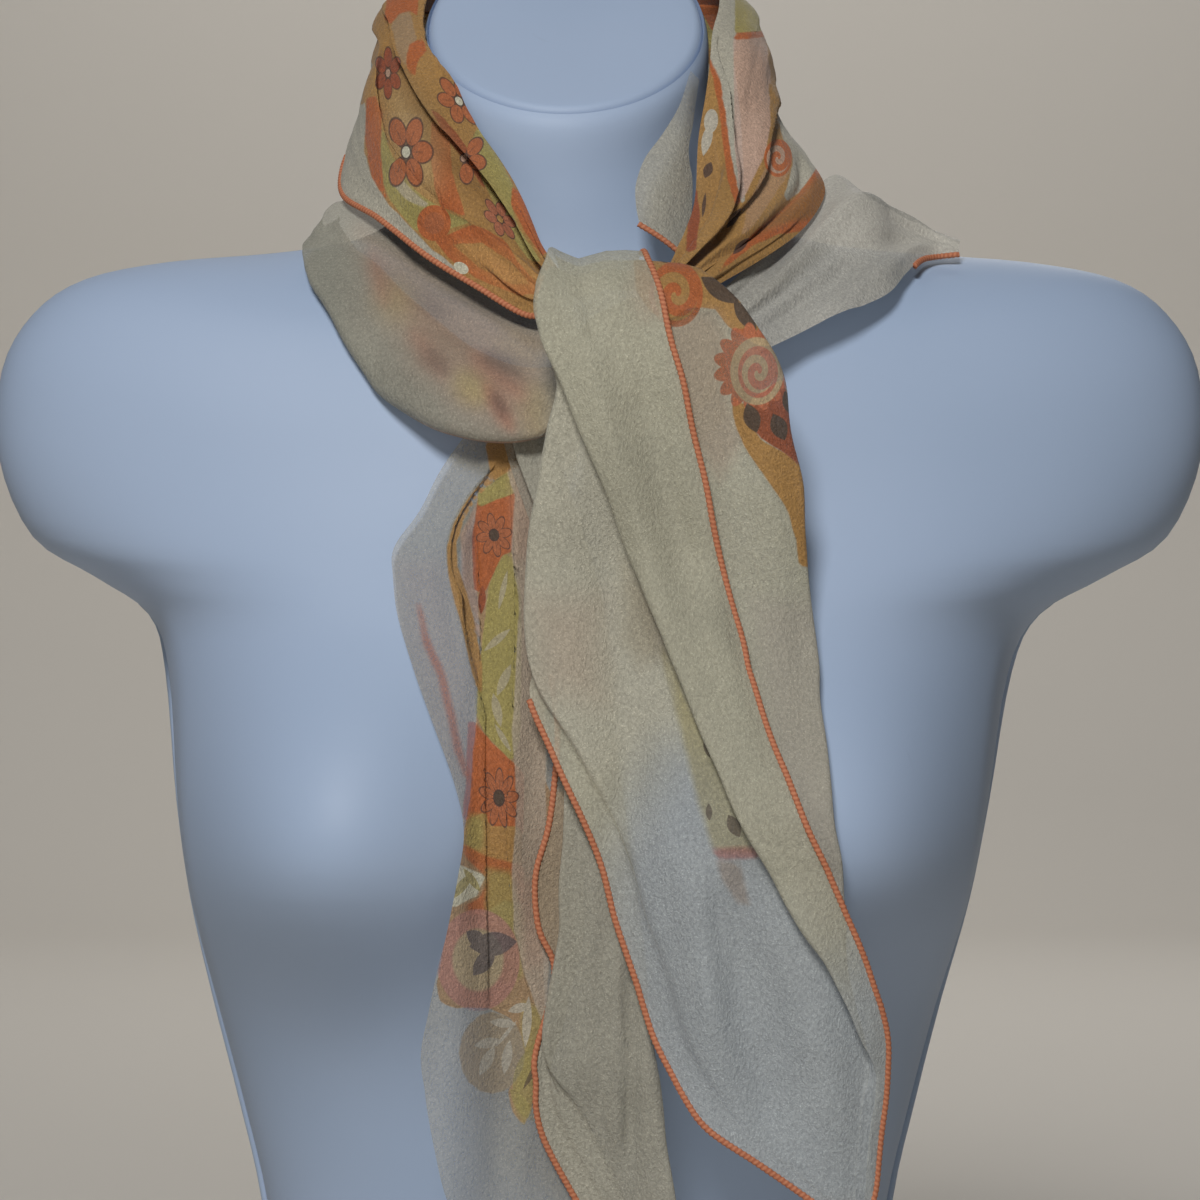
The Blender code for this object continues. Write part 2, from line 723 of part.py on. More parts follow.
def build():
    for thing in list(bpy.data.objects):
        bpy.data.objects.remove(thing)
    group = bpy.data.collections.new("Chiffon scarf on a dress form")
    bpy.context.scene.collection.children.link(group)
    plastic = material("glossy_plastic", (0.62, 0.68, 0.76), 0.25)
    border = material("cream_chiffon", (0.72, 0.69, 0.58), 0.7)
    printed = material("printed_chiffon", (0.78, 0.50, 0.22), 0.7)
    thread = material("orange_thread", (0.86, 0.33, 0.16), 0.6)

    rows = form_rows(FORM_RINGS)
    tree = form_tree(rows)
    hang = Hang(tree)
    build_form(rows, plastic, group)
    build_knot(printed, group)

    band = band_rows(BAND, tree)
    left = drawn_back(band[:BAND_LEFT_END + 1], first=False)
    behind = drawn_back(band[BAND_LEFT_END:BAND_RIGHT_START + 1])
    right = drawn_back(band[BAND_RIGHT_START:], last=False)
    cloth("collar_left", left, printed, group)
    cloth("collar_back", behind, printed, group)
    cloth("collar_right", right, printed, group)
    hem("hem_collar_left", column(left, -1)[:BAND_HEM_ROWS],
        column(left, -2)[:BAND_HEM_ROWS], thread, group)

    flap = patch_rows(NECK_FLAP, tree, across=5)
    cloth("neck_flap", flap, border, group)
    hem("hem_neck_flap", flap[-1], flap[-2], thread, group)

    cloth("wing_left", pouch_rows(WING_LEFT, WING_LEFT_CREASES, tree), border, group)
    wing = patch_rows(WING_RIGHT, tree, WING_RIGHT_CREASES)
    cloth("wing_right", wing, border, group)
    edge = wing[-1] + column(wing, -1)[-2:WING_HEM_START:-1]
    inner = wing[-2] + column(wing, -2)[-2:WING_HEM_START:-1]
    hem("hem_wing_right", edge, inner, thread, group)

    front = tail_front_rows(hang)
    cloth("tail_front", front, border, group)
    edge, inner = round_corner(front, 1, HEM_B_START)
    hem("hem_tail_front", edge, inner, thread, group)

    back = tail_back_rows(hang, tree)
    cloth("tail_back", back, printed, group)
    edge, inner = round_corner(back, BACK_HEM_START, -BACK_HEM_END, short=1)
    hem("hem_tail_back", edge, inner, thread, group)


build()
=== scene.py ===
"""Looks of a square chiffon scarf tied at the neck of a limbless bust dress form.

The tables are in millimetres and the objects in metres. +X is to the right as seen from the
front, "out" is the distance in front of y = 0, and z = 0 is the form's flat base.
"""

import math
import re
from collections import namedtuple

import bpy
import numpy as np
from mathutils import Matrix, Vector, noise
from mathutils.bvhtree import BVHTree
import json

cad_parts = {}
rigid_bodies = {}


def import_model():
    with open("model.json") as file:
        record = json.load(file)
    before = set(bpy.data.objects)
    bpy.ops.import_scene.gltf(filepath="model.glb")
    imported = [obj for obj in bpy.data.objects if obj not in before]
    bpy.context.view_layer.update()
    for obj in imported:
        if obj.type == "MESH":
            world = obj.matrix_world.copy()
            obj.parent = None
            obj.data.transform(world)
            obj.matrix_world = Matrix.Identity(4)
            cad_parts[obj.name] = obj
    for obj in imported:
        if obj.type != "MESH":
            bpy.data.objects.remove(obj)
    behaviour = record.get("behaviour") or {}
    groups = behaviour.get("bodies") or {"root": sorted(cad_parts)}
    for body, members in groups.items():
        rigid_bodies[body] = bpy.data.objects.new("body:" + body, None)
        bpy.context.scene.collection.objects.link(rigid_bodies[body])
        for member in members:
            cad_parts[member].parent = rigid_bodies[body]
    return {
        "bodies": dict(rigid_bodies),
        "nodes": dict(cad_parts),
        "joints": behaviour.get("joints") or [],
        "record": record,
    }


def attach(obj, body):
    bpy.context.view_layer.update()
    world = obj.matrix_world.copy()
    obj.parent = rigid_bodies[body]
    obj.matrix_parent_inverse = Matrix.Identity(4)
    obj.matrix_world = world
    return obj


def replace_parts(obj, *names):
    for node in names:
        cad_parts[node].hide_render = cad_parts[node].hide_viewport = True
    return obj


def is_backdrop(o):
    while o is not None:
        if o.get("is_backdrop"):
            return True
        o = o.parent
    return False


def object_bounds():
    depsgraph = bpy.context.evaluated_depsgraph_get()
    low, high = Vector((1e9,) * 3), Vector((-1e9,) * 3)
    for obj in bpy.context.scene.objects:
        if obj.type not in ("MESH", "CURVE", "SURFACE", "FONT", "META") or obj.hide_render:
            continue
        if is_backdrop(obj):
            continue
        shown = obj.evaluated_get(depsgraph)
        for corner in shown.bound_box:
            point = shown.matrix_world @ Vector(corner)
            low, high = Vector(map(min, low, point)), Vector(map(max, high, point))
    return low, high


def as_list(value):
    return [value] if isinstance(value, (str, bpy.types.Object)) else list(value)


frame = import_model()
CAD_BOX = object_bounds()
MM = 0.001

FORM_GAP = 2.0              # least distance from cloth to form
FORM_SIDES = 128
BUST_X, BUST_CENTRE, BUST_Z = 92.0, -5.0, 270.0
BUST_HEIGHT, BUST_WIDTH = 60.0, 43.0
BUST_ABOVE, BUST_BELOW = 46.0, 34.0
BACK_LAYER_GAP = 2.7
BACK_STAND_OFF = 4.5        # of the tails from the form, where nothing lies between
FRONT_STAND_OFF = 5.0
FRONT_OVER_BACK = 14.0      # room for the back tail behind the front one
BACK_TAIL_REACH = (26.0, 66.0)      # x over which that room runs out
FRONT_STEPS = (4, 32, 22, 22)       # points across each layer between its folds
BACK_STEPS = (56, 12, 5, 8)
POUCH_STEPS = (22, 14)
FOLD_STEPS = 7              # points round each fold
LEAN_LENGTH = 4.0           # below about this width a layer leans over to the next
OPEN_STEP = 4.0             # most room that a step in the same direction takes
BAND_ROW_LENGTH = 20.0      # what a row of a strip's table and its width count as in creases
BAND_WIDTH = 50.0
BAND_STEPS = 7              # rows of the finer band for each row of its table
STITCH = 1.6                # length of hem a stitch


def columns(text):
    """A table as a dict with an array of numbers for each column named in its first line."""
    names, *rows = [line.split() for line in text.strip().splitlines()]
    values = np.array(rows, dtype=float)
    return {name: values[:, i] for i, name in enumerate(names)}


FORM_RINGS = columns("""
side front back half centre deep_front deep_back flat
0 0 0 124 -8 85 95 2
50 50 50 110 -8 80 88 2
95 95 95 103 -8 76 80 2
140 140 140 108 -8 80 82 2
175 175 175 116 -8 86 86 2
210 210 210 125 -8 93 90 2
245 245 245 134 -7 98 94 2
280 280 280 140 -6 100 96 2
325 325 325 146 -4 98 97 2
345 340 345 155 -2 96 97 2
358 352 362 176 0 93 96 2
372 364 380 198 0 89 95 2
400 385 405 210 0 83 92 2
430 405 430 209 0 78 88 2
450 420 448 198 0 73 80 2
462 432 460 180 0 68 74 2
468 440 468 150 -1 63 69 2
471 446 476 112 -3 59 65 2
475 452 484 82 -6 55 62 2
483 460 493 63 -9 52 60 2
497 474 507 54 -11 50 58 1.6
522 492 540 50 -12 50 56 1.2
545 508 580 50 -12 52 54 1
552 515 592 48 -12 50 50 1
""")
BAND = columns("""
neck_x neck_out neck_z hem_x hem_out hem_z roll
-13 82 458 -15 85 446 1
-18 75 466 -24 80 444 3
-24 64 480 -40 69 454 4
-31 53 494 -57 58 465 6
-38 45 505 -75 40 480 8
-44 38 518 -89 16 491 9
-52 21 536 -89 -2 506 12
-59 0 556 -82 -18 520 10
-63 -26 573 -78 -38 526 9
-48 -54 585 -56 -66 528 7
-10 -64 590 -10 -78 530 5
25 -54 584 33 -66 528 7
40 -28 573 53 -40 526 10
42 -6 560 61 -16 521 10
38 16 543 63 0 518 10
35 33 521 66 8 512 9
33 44 504 72 18 502 7
32 55 487 77 30 489 6
29 68 474 64 54 471 5
22 86 459 32 89 449 2
""")
WING_LEFT = columns("""
top_x top_out top_z fold_x fold_out fold_z puff
-89 5 489 -97 12 482 2
-86 10 490 -102 26 468 3
-78 22 484 -99 43 456 4
-67 33 475 -91 56 445 5
-57 42 464 -82 68 431 6
-48 48 458 -71 80 418 7
-40 54 453 -56 92 409 7
-31 61 448 -40 98 404 5
-24 68 444 -24 101 403 4
-14 78 440 -13 100 407 2
""")
WING_RIGHT = columns("""
top_x top_out top_z low_x low_out low_z puff
33 82 449 43 92 426 1
41 76 453 54 86 432 1
50 62 462 66 78 438 2
59 44 472 78 74 444 4
68 28 484 88 68 448 5
81 16 497 97 60 453 6
93 12 490 103 48 460 5
105 13 483 109 36 466 3
115 16 478 115 28 468 2
124 21 474 123 26 469 1
""")
NECK_FLAP = columns("""
neck_x neck_out neck_z band_x band_out band_z puff
31 30 531 34 29 528 0
27 40 518 32 37 515 1
21 48 507 30 46 502 2
15 54 498 31 50 492 3
12 60 489 31 55 483 3
12 65 481 30 60 474 2
13 68 475 28 68 464 1
""")
TAIL_FRONT = columns("""
z out hem_b left right front hem_a gap
450 91 0 -9 28 -10 11 3.0
456 95 -4 -14 31 -15 13 3.0
454 102 -7 -17 36 -18 15 3.0
445 109 -9 -20 46 -21 19 3.2
432 112 -7 -18 54 -19 22 3.2
419 113 -4 -14 59 -13 26 3.2
404 113 -6 -17 61 -7 29 3.2
388 113 -9 -20 65 0 33 3.2
372 112 -13 -23 66 6 36 3.2
356 110 -14 -24 67 13 40 3.2
338 107 -18 -24 69 20 45 3.2
328 105 -21.5 -22.5 70 24 47 3.2
318 104 -22 -18 70 28 50 3.2
300 100 -14 -6 72 35 56 3.2
281 100 -5 4 73 43 63 3.2
266 100 1 10 76 52 70 3.2
250 100 5 15 77 61 77 3.2
238 100 9 19 77 69 82 3.2
229 100 12 22 78.5 73.5 85 3.2
222 100 14 24 80 77 87.5 3.2
213 100 17 27 82.5 81 89.5 2.8
203 100 22 32 84 86 89.5 1.8
194 100 27 38 82 86 89 1.0
185 100 34 45 81 84.5 88 0.6
175 100 49 57 80 83.5 87 0.4
166 100 62 68 79.5 83 86 0.3
159 100 72 75 79.5 82 84 0.2
""")
TAIL_BACK = columns("""
z left right front inner hem gap
407 -42 -18 -30 -26 -33 2.2
393 -52 -13 -26 -21 -29 2.4
379 -59 -8 -21 -16 -24 2.6
367 -67 -4 -17 -12 -20 2.7
357 -67 -1 -15 -10 -18 2.7
344 -65 2 -13 -8 -16 2.7
326 -59 4 -12 -6 -15 2.7
308 -52 5 -11 -4 -13 2.7
292 -46 7 -12 -4 -14 2.7
277 -43 9 -12 -4 -16 2.7
262 -45 11 -13 -5 -20 2.7
246 -48 13 -13 -5 -19 2.7
234 -51 15 -15 -7 -14 2.7
220 -54 16 -17 -10 -16 2.7
210 -56 17 -18 -13 -19 2.7
203 -56 18 -16.5 -15 -20.5 2.7
197 -55 19 -13 -15.5 -20 2.4
189 -54 20 -7 -14 -20 1.6
178 -52 21 -1 -9 -17 1.0
161 -48 24 7 0 -8 0.7
142 -40 26 15 9 3 0.6
131 -28 26 20 15 9 0.6
125 -8 25 21 17 12 0.6
""")

# Laps and creases run from a to b. On the band and wings a row of the table is 20 mm along u
# and the width is 50 mm across v. On the tails x and z are real, and u is z and v is x.
BAND_PLEATS = columns("""
u_a v_a v_mid u_b v_b width lap height
-20 14 8.4 152 12.4 2.6 3.8 2.5
52 37 27.5 138 19 2.2 3.2 -1.9
-20 6 4 46 2.5 1.6 2.0 1.2
6 16 25 76 35 2.6 1.2 -0.6
-20 38 39 40 40 2.0 1.6 0.8
146 22 18 250 16 2.6 4.0 2.4
282 2 12 400 18 2.2 4.0 3.4
282 40 24 372 18 2.2 3.8 3.0
352 46 43 400 40 1.8 1.4 0.8
352 34 32 400 33 1.4 1.8 1.2
330 6 8 400 11 1.6 2.2 -2.0
""")
BAND_CREASES = columns("""
u_a v_a u_b v_b width height
80 12 200 15 6 2.5
-10 18 66 12.5 3.2 -2.2
60 12.5 150 17 3.6 -2.4
325 43 376 29 2.6 -3.0
180 30 260 28 7 -2.5
160 10 240 9 5 -1.5
170 42 240 44 5 1.5
40 26 110 29 4 1.2
""")
WING_LEFT_CREASES = columns("""
u_a v_a u_b v_b width height
20 27 180 17 5 -2.6
60 45 180 35 5 2.2
60 32 120 27 4 1.3
90 12 178 8 3 1.2
30 40 80 44 4 -1.2
120 40 178 44 3 -1.0
""")
WING_RIGHT_CREASES = columns("""
u_a v_a u_b v_b width height
30 20 160 15 5 2.8
30 37 140 32 6 -3.2
10 26 90 27 3 -1.5
10 8 80 9 3 -1.6
80 43 150 40 4 1.2
110 20 170 26 4 -1.2
""")
FRONT_CREASES = columns("""
x_a z_a x_b z_b width height
-8 440 24 330 6 3.2
6 446 30 352 6 -2.6
-12 380 -6 270 8 2.4
29 408 48 318 5 -1.8
40 300 40 235 2.4 0.9
32 266 35 215 4 1.3
54 250 66 205 5 1.8
24 318 10 268 4 2.0
6 380 12 260 7 -2.5
50 430 60 320 7 3.0
60 260 74 180 8 3.0
36 260 54 185 8 -3.0
22 280 40 200 7 2.5
-4 452 -2 430 3 -1.6
4 455 12 415 4 1.6
38 440 44 390 3 -1.4
20 320 2 275 4 -1.6
28 300 14 255 4 1.4
30 400 48 300 5 1.4
10 350 26 300 3 -1.0
""")
BACK_PLEATS = columns("""
u_a v_a v_mid u_b v_b width lap height
394 -34 -48 352 -46 1.7 2.4 1.5
356 -46 -43 318 -39 1.5 1.8 1.3
372 -40 -38.5 318 -39 1.4 1.8 -1.5
392 -29.5 -26.8 300 -28.2 1.5 2.2 -1.6
305 -28.2 -28.6 214 -19 1.5 1.4 -0.7
345 -37 -36.5 218 -35 1.3 1.4 0.9
""")
BACK_CREASES = columns("""
x_a z_a x_b z_b width height
-32 400 -48 365 5 3.0
-48 365 -40 315 5 3.0
-40 385 -38 230 4 -3.0
-29 392 -27 250 5 3.0
-58 375 -56 330 6 -2.0
-44 260 -47 150 7 2.5
-32 230 -34 150 7 -3.0
5.5 240 5.5 175 2.6 2.4
10 240 9.5 175 2.2 -2.6
-2 270 -4 190 4 1.6
-52 190 -30 158 3 1.6
-20 215 -26 160 3 1.2
14 200 16 150 3 1.2
""")
CREST = columns("""
x drop
-30 4
-21 0
-17 -3.4
-13 -1.0
-7 1.2
2 -1.0
13 -0.5
21 0
32 1.6
50 4.5
""")


# ---------------- curves and surfaces

def smooth_rows(table, steps):
    """The table with steps - 1 rows added between each two, on a Catmull-Rom curve."""
    finer = {}
    for name, knots in table.items():
        padded = np.concatenate(([2 * knots[0] - knots[1]], knots, [2 * knots[-1] - knots[-2]]))
        values = []
        for i in range(len(knots) - 1):
            a, b, c, d = padded[i:i + 4]
            for t in np.arange(steps) / steps:
                bend = 2 * a - 5 * b + 4 * c - d + t * (3 * (b - c) + d - a)
                values.append(b + 0.5 * t * (c - a + t * bend))
        finer[name] = np.array(values + [knots[-1]])
    return finer


def clamp(value, low=-1.0, high=1.0):
    return max(low, min(high, value))


def ease(value):
    value = clamp(value, 0.0, 1.0)
    return value * value * (3 - 2 * value)


def larger(a, b, blend=6.0):
    return 0.5 * (a + b + math.hypot(a - b, blend))


def crease_height(u, v, creases):
    """Height at (u, v) of the soft ridges and troughs in a table."""
    total = 0.0
    for u_a, v_a, u_b, v_b, width, height in zip(*creases.values()):
        length = math.hypot(u_b - u_a, v_b - v_a)
        along = ((u - u_a) * (u_b - u_a) + (v - v_a) * (v_b - v_a)) / length ** 2
        off = ((v - v_a) * (u_b - u_a) - (u - u_a) * (v_b - v_a)) / length
        taper = ease((along + 0.15) / 0.35) * ease((1.15 - along) / 0.35)
        total += height * taper * math.exp(-(off / width) ** 2)
    return total


def pleat_shift(u, v, pleats):
    """Shift across and rise at (u, v) where cloth laps over itself along curved lines.

    Each line runs from a to b through mid, half way along. Above 0, height puts the side
    nearer v = 0 on top.
    """
    shift = rise = 0.0
    for u_a, v_a, v_mid, u_b, v_b, width, lap, height in zip(*pleats.values()):
        s = (u - u_a) / (u_b - u_a)
        taper = ease((s + 0.12) / 0.3) * ease((1.12 - s) / 0.3)
        if taper > 0:
            bend = 2 * v_a - 4 * v_mid + 2 * v_b
            line = v_a + (4 * v_mid - 3 * v_a - v_b) * s + bend * s * s
            t = (v - line) / width
            shift -= 1.65 * lap * taper * t * math.exp(-t * t / 2)
            rise -= height * taper * math.tanh(1.5 * t) * math.exp(-t * t / 8)
    return shift, rise


def straight(start, finish, steps):
    return [tuple(a + (b - a) * i / steps for a, b in zip(start, finish))
            for i in range(1, steps + 1)]


def bezier(start, leave, reach, finish, steps):
    points = []
    for i in range(1, steps + 1):
        t = i / steps
        weights = ((1 - t) ** 3, 3 * t * (1 - t) ** 2, 3 * t * t * (1 - t), t ** 3)
        corners = zip(start, leave, reach, finish)
        points.append(tuple(sum(w * c for w, c in zip(weights, corner)) for corner in corners))
    return points


def folded_section(rails, layers, long_steps, fold_steps=FOLD_STEPS):
    """Points (along, depth, layer) of a section through sheets that fold at each rail.

    layers are the sheets' depths. Where a sheet is very narrow it leans over to meet the next.
    """
    starts, ends = [], []
    for k, layer in enumerate(layers):
        before = layers[max(k - 1, 0)]
        after = layers[min(k + 1, len(layers) - 1)]
        lean = 0.2 * (after - before) * math.exp(-((rails[k + 1] - rails[k]) / LEAN_LENGTH) ** 2)
        starts.append(layer - lean)
        ends.append(layer + lean)
    points = [(rails[0], starts[0], 0)]
    for k in range(1, len(rails) - 1):
        low, high = ends[k - 1], starts[k]
        radius = max(abs(high - low) / 2, 0.4)
        behind, ahead = rails[k] - rails[k - 1], rails[k + 1] - rails[k]
        into, away = clamp(behind / (2.6 * radius)), clamp(ahead / (2.6 * radius))
        broad = min(OPEN_STEP, 0.4 * abs(behind), 0.4 * abs(ahead))
        reach = radius + max(0.0, broad - radius) * max(0.0, into * away)
        start = (rails[k] - into * reach, low)
        leave = (rails[k] + into * reach / 3, low)
        arrive = (rails[k] - away * reach / 3, high)
        finish = (rails[k] + away * reach, high)
        points += [(*p, k - 1) for p in straight(points[-1][:2], start, long_steps[k - 1])]
        bend = bezier(start, leave, arrive, finish, fold_steps)
        points += [(*p, k - 1 if i < len(bend) // 2 else k) for i, p in enumerate(bend)]
    last = len(rails) - 2
    return points + [(*p, last) for p in straight(points[-1][:2], (rails[-1], ends[-1]),
                                                  long_steps[-1])]


def tube_faces(rows, count, flip=False):
    """Faces of a tube of rings with count points each, and last those of its two ends."""
    faces = []
    for i in range(rows - 1):
        for j in range(count):
            a, b = i * count + j, i * count + (j + 1) % count
            faces.append((a, a + count, b + count, b) if flip else (a, b, b + count, a + count))
    first, last = tuple(range(count)), tuple(range((rows - 1) * count, rows * count))
    return faces + ([first, last[::-1]] if flip else [first[::-1], last])


def grid_faces(rows, cols):
    return [(i * cols + j, i * cols + j + 1, (i + 1) * cols + j + 1, (i + 1) * cols + j)
            for i in range(rows - 1) for j in range(cols - 1)]


# ---------------- the dress form

def bust(x, z):
    spread = BUST_ABOVE if z > BUST_Z else BUST_BELOW
    rise = math.exp(-0.5 * ((z - BUST_Z) / spread) ** 2)
    return BUST_HEIGHT * rise * sum(
        math.exp(-0.5 * ((x - BUST_CENTRE - side * BUST_X) / BUST_WIDTH) ** 2)
        for side in (-1, 1))


def form_rows(rings, sides=FORM_SIDES):
    """Rows of points round the dress form, from its base to the slanted cut of the neck."""
    rows = []
    for side, front, back, half, centre, deep_front, deep_back, flat in zip(*rings.values()):
        row = []
        for j in range(sides):
            angle = 2 * math.pi * j / sides
            across, behind = math.cos(angle), math.sin(angle)
            x = centre + half * across
            if behind < 0:
                z = side + (front - side) * abs(behind) ** flat
                y = deep_front * behind - bust(x, z) * min(1.0, -3 * behind)
            else:
                z = side + (back - side) * behind ** flat
                y = deep_back * behind
            row.append(Vector((x, y, z)))
        rows.append(row)
    return rows


class Hang:
    """How far out cloth hangs in front of the form: never nearer than anything above it."""

    LEFT, RIGHT, LOW, HIGH, STEP = -120.0, 130.0, 60.0, 470.0, 5.0

    def __init__(self, tree):
        across = int((self.RIGHT - self.LEFT) / self.STEP) + 1
        down = int((self.HIGH - self.LOW) / self.STEP) + 1
        front = np.zeros((down, across))
        for i in range(down):
            for j in range(across):
                origin = Vector((self.LEFT + j * self.STEP, -400, self.HIGH - i * self.STEP))
                hit = tree.ray_cast(origin, Vector((0, 1, 0)))[0]
                front[i, j] = -hit.y if hit else 0.0
        softened = np.maximum.accumulate(front, axis=0)
        for _ in range(6):
            edged = np.pad(softened, 1, mode="edge")
            softened = (edged[:-2, 1:-1] + edged[2:, 1:-1] + edged[1:-1, :-2]
                        + edged[1:-1, 2:] + 2 * edged[1:-1, 1:-1]) / 6
        self.grid = np.maximum(softened, front)

    def out(self, x, z):
        rows, cols = self.grid.shape
        i = clamp((self.HIGH - z) / self.STEP, 0, rows - 1.001)
        j = clamp((x - self.LEFT) / self.STEP, 0, cols - 1.001)
        top, left = int(i), int(j)
        down, across = i - top, j - left
        square = self.grid[top:top + 2, left:left + 2]
        upper, lower = square[:, 0] * (1 - across) + square[:, 1] * across
        return upper * (1 - down) + lower * down


def clear_of_form(point, gap):
    near, normal, _, _ = form_wall.find_nearest(point)
    if near is None or (point - near).dot(normal) >= gap:
        return point
    return near + normal * gap


def place(x, out, z):
    return Vector((x, -out, z))


shell = form_rows(smooth_rows(FORM_RINGS, 4))
form_wall = BVHTree.FromPolygons([point for row in shell for point in row],
                                 tube_faces(len(shell), FORM_SIDES)[:-2])
hang = Hang(form_wall)


# ---------------- sheets, as grids of points

class Grid:
    """One sheet, from rows of (point, layer number, flat coordinates)."""

    def __init__(self, rows):
        self.points = np.array([[tuple(p) for p, _, _ in row] for row in rows])
        self.layers = np.array([[layer for _, layer, _ in row] for row in rows])
        self.flat = np.array([[flat for _, _, flat in row] for row in rows], dtype=float)

    def ruffled(self, size, height, seed, gap=1.2):
        """Small uneven wrinkles, size long and wide, kept clear of the form."""
        normal = np.cross(np.gradient(self.points, axis=1), np.gradient(self.points, axis=0))
        normal /= np.maximum(np.linalg.norm(normal, axis=2, keepdims=True), 1e-9)
        rows, cols, _ = self.points.shape
        for i in range(rows):
            for j in range(cols):
                u, v = self.flat[i, j]
                amount = noise.noise(Vector((u / size[0], v / size[1], seed)))
                amount += 0.4 * noise.noise(Vector((u / size[0] * 2.3, v / size[1] * 2.1,
                                                    seed + 9)))
                self.points[i, j] += normal[i, j] * amount * height
                point = Vector(self.points[i, j])
                near, away, _, _ = form_wall.find_nearest(point)
                if near is not None and (point - near).dot(away) < gap:
                    self.points[i, j] = near + away * gap
        return self

    def area(self):
        a, b = self.points[:-1, :-1], self.points[1:, 1:]
        c, d = self.points[:-1, 1:], self.points[1:, :-1]
        return float(np.linalg.norm(np.cross(b - a, d - c), axis=2).sum() / 2)


def run_length(points):
    """Distance along a line of points, from its start to each."""
    return np.cumsum([0.0] + [(b - a).length for a, b in zip(points, points[1:])])


def strip_rows(table, steps):
    """Rows of a finer strip, each as (u, first edge, second edge, puff, away, length so far)."""
    values = list(smooth_rows(table, steps).values())
    first, second = ([place(*p) for p in zip(*values[k:k + 3])] for k in (0, 3))
    middle = run_length([a.lerp(b, 0.5) for a, b in zip(first, second)])
    for i, (a, b) in enumerate(zip(first, second)):
        ahead, behind = min(i + 1, len(first) - 1), max(i - 1, 0)
        run = (first[ahead] + second[ahead]) - (first[behind] + second[behind])
        away = run.cross(b - a).normalized()
        yield i / steps * BAND_ROW_LENGTH, a, b, values[6][i], away, middle[i]


def outward(away):
    return away if away.dot(Vector((0, -1, 0.6))) > 0 else -away


def band_grid(across=91, flat_width=64.0):
    rows = []
    for i, (u, neck, hem, roll, away, length) in enumerate(strip_rows(BAND, BAND_STEPS)):
        layer = 0 if i <= 8 * BAND_STEPS else 1 if i < 12 * BAND_STEPS else 2
        row = []
        for v in np.arange(across) / (across - 1):
            shift, rise = pleat_shift(u, v * BAND_WIDTH, BAND_PLEATS)
            s = v + shift / BAND_WIDTH * ease(v / 0.08) * ease((1 - v) / 0.08)
            height = roll * math.sin(math.pi * clamp(s, 0, 1) ** 0.8)
            height += rise + crease_height(u, v * BAND_WIDTH, BAND_CREASES)
            point = clear_of_form(neck.lerp(hem, s) + away * height, FORM_GAP)
            row.append((point, layer, (length, v * flat_width)))
        rows.append(row)
    return Grid(rows)


def patch_grid(table, creases, steps, across):
    rows = []
    for u, first, second, puff, away, length in strip_rows(table, steps):
        width = (second - first).length
        row = []
        for v in np.arange(across) / (across - 1):
            height = puff * math.sin(math.pi * v)
            if creases:
                height += crease_height(u, v * BAND_WIDTH, creases)
            point = clear_of_form(first.lerp(second, v) + outward(away) * height, FORM_GAP)
            row.append((point, 0, (length, (v - 0.5) * width)))
        rows.append(row)
    return Grid(rows)


def pouch_grid(table, creases, steps):
    rows = []
    for u, first, second, puff, away, length in strip_rows(table, steps):
        along = second - first
        width = along.length
        thick = 2.6 + 0.5 * puff
        row, travelled, last = [], 0.0, first
        for distance, depth, layer in folded_section((0, width, 0.35 * width), (0, -thick),
                                                     POUCH_STEPS):
            v = distance / width
            in_front = 1 + depth / thick
            opening = 0.35 + 0.65 * ease(v / 0.5)
            height = depth * opening + puff * math.sin(math.pi * v) * in_front
            height += crease_height(u, v * BAND_WIDTH, creases) * (0.4 + 0.6 * in_front)
            point = clear_of_form(first + along * v + outward(away) * height,
                                  FORM_GAP + thick * in_front * opening)
            travelled += (point - last).length if row else 0.0
            last = point
            row.append((point, layer, (length, travelled)))
        rows.append(row)
    return Grid(rows)


def opened(section, travelled):
    """The section's points, each with how far along the opened cloth it is."""
    before = section[0][0]
    for x, depth, layer in section:
        travelled += abs(x - before)
        before = x
        yield x, depth, layer, travelled


def front_grid(steps=6):
    table = smooth_rows(TAIL_FRONT, steps)
    count = len(table["z"])
    path = run_length([Vector(p) for p in zip(table["out"], table["z"])])
    rows = []
    for i in range(count):
        at = {name: column[i] for name, column in table.items()}
        ahead, behind = min(i + 1, count - 1), max(i - 1, 0)
        fall = Vector([table[name][ahead] - table[name][behind]
                       for name in ("out", "z")]).normalized()
        rails = [at[name] for name in ("hem_b", "left", "right", "front", "hem_a")]
        section = folded_section(rails, (-at["gap"], 0, at["gap"], 2 * at["gap"]), FRONT_STEPS)
        crest = ease((4.5 - i / steps) / 3.0)
        row = []
        for x, depth, layer, travelled in opened(section,
                                                 at["left"] - abs(at["left"] - at["hem_b"])):
            z = at["z"] + depth * fall.x - crest * np.interp(x, CREST["x"], CREST["drop"])
            near_back = ease((BACK_TAIL_REACH[1] - x) / (BACK_TAIL_REACH[1] - BACK_TAIL_REACH[0]))
            body = hang.out(x, z) + FRONT_STAND_OFF + FRONT_OVER_BACK * near_back
            out = larger(at["out"], body) - depth * fall.y
            row.append((place(x, out + crease_height(x, z, FRONT_CREASES), z), layer,
                        (travelled, path[-1] - path[i] + table["z"][-1])))
        rows.append(row)
    return Grid(rows)


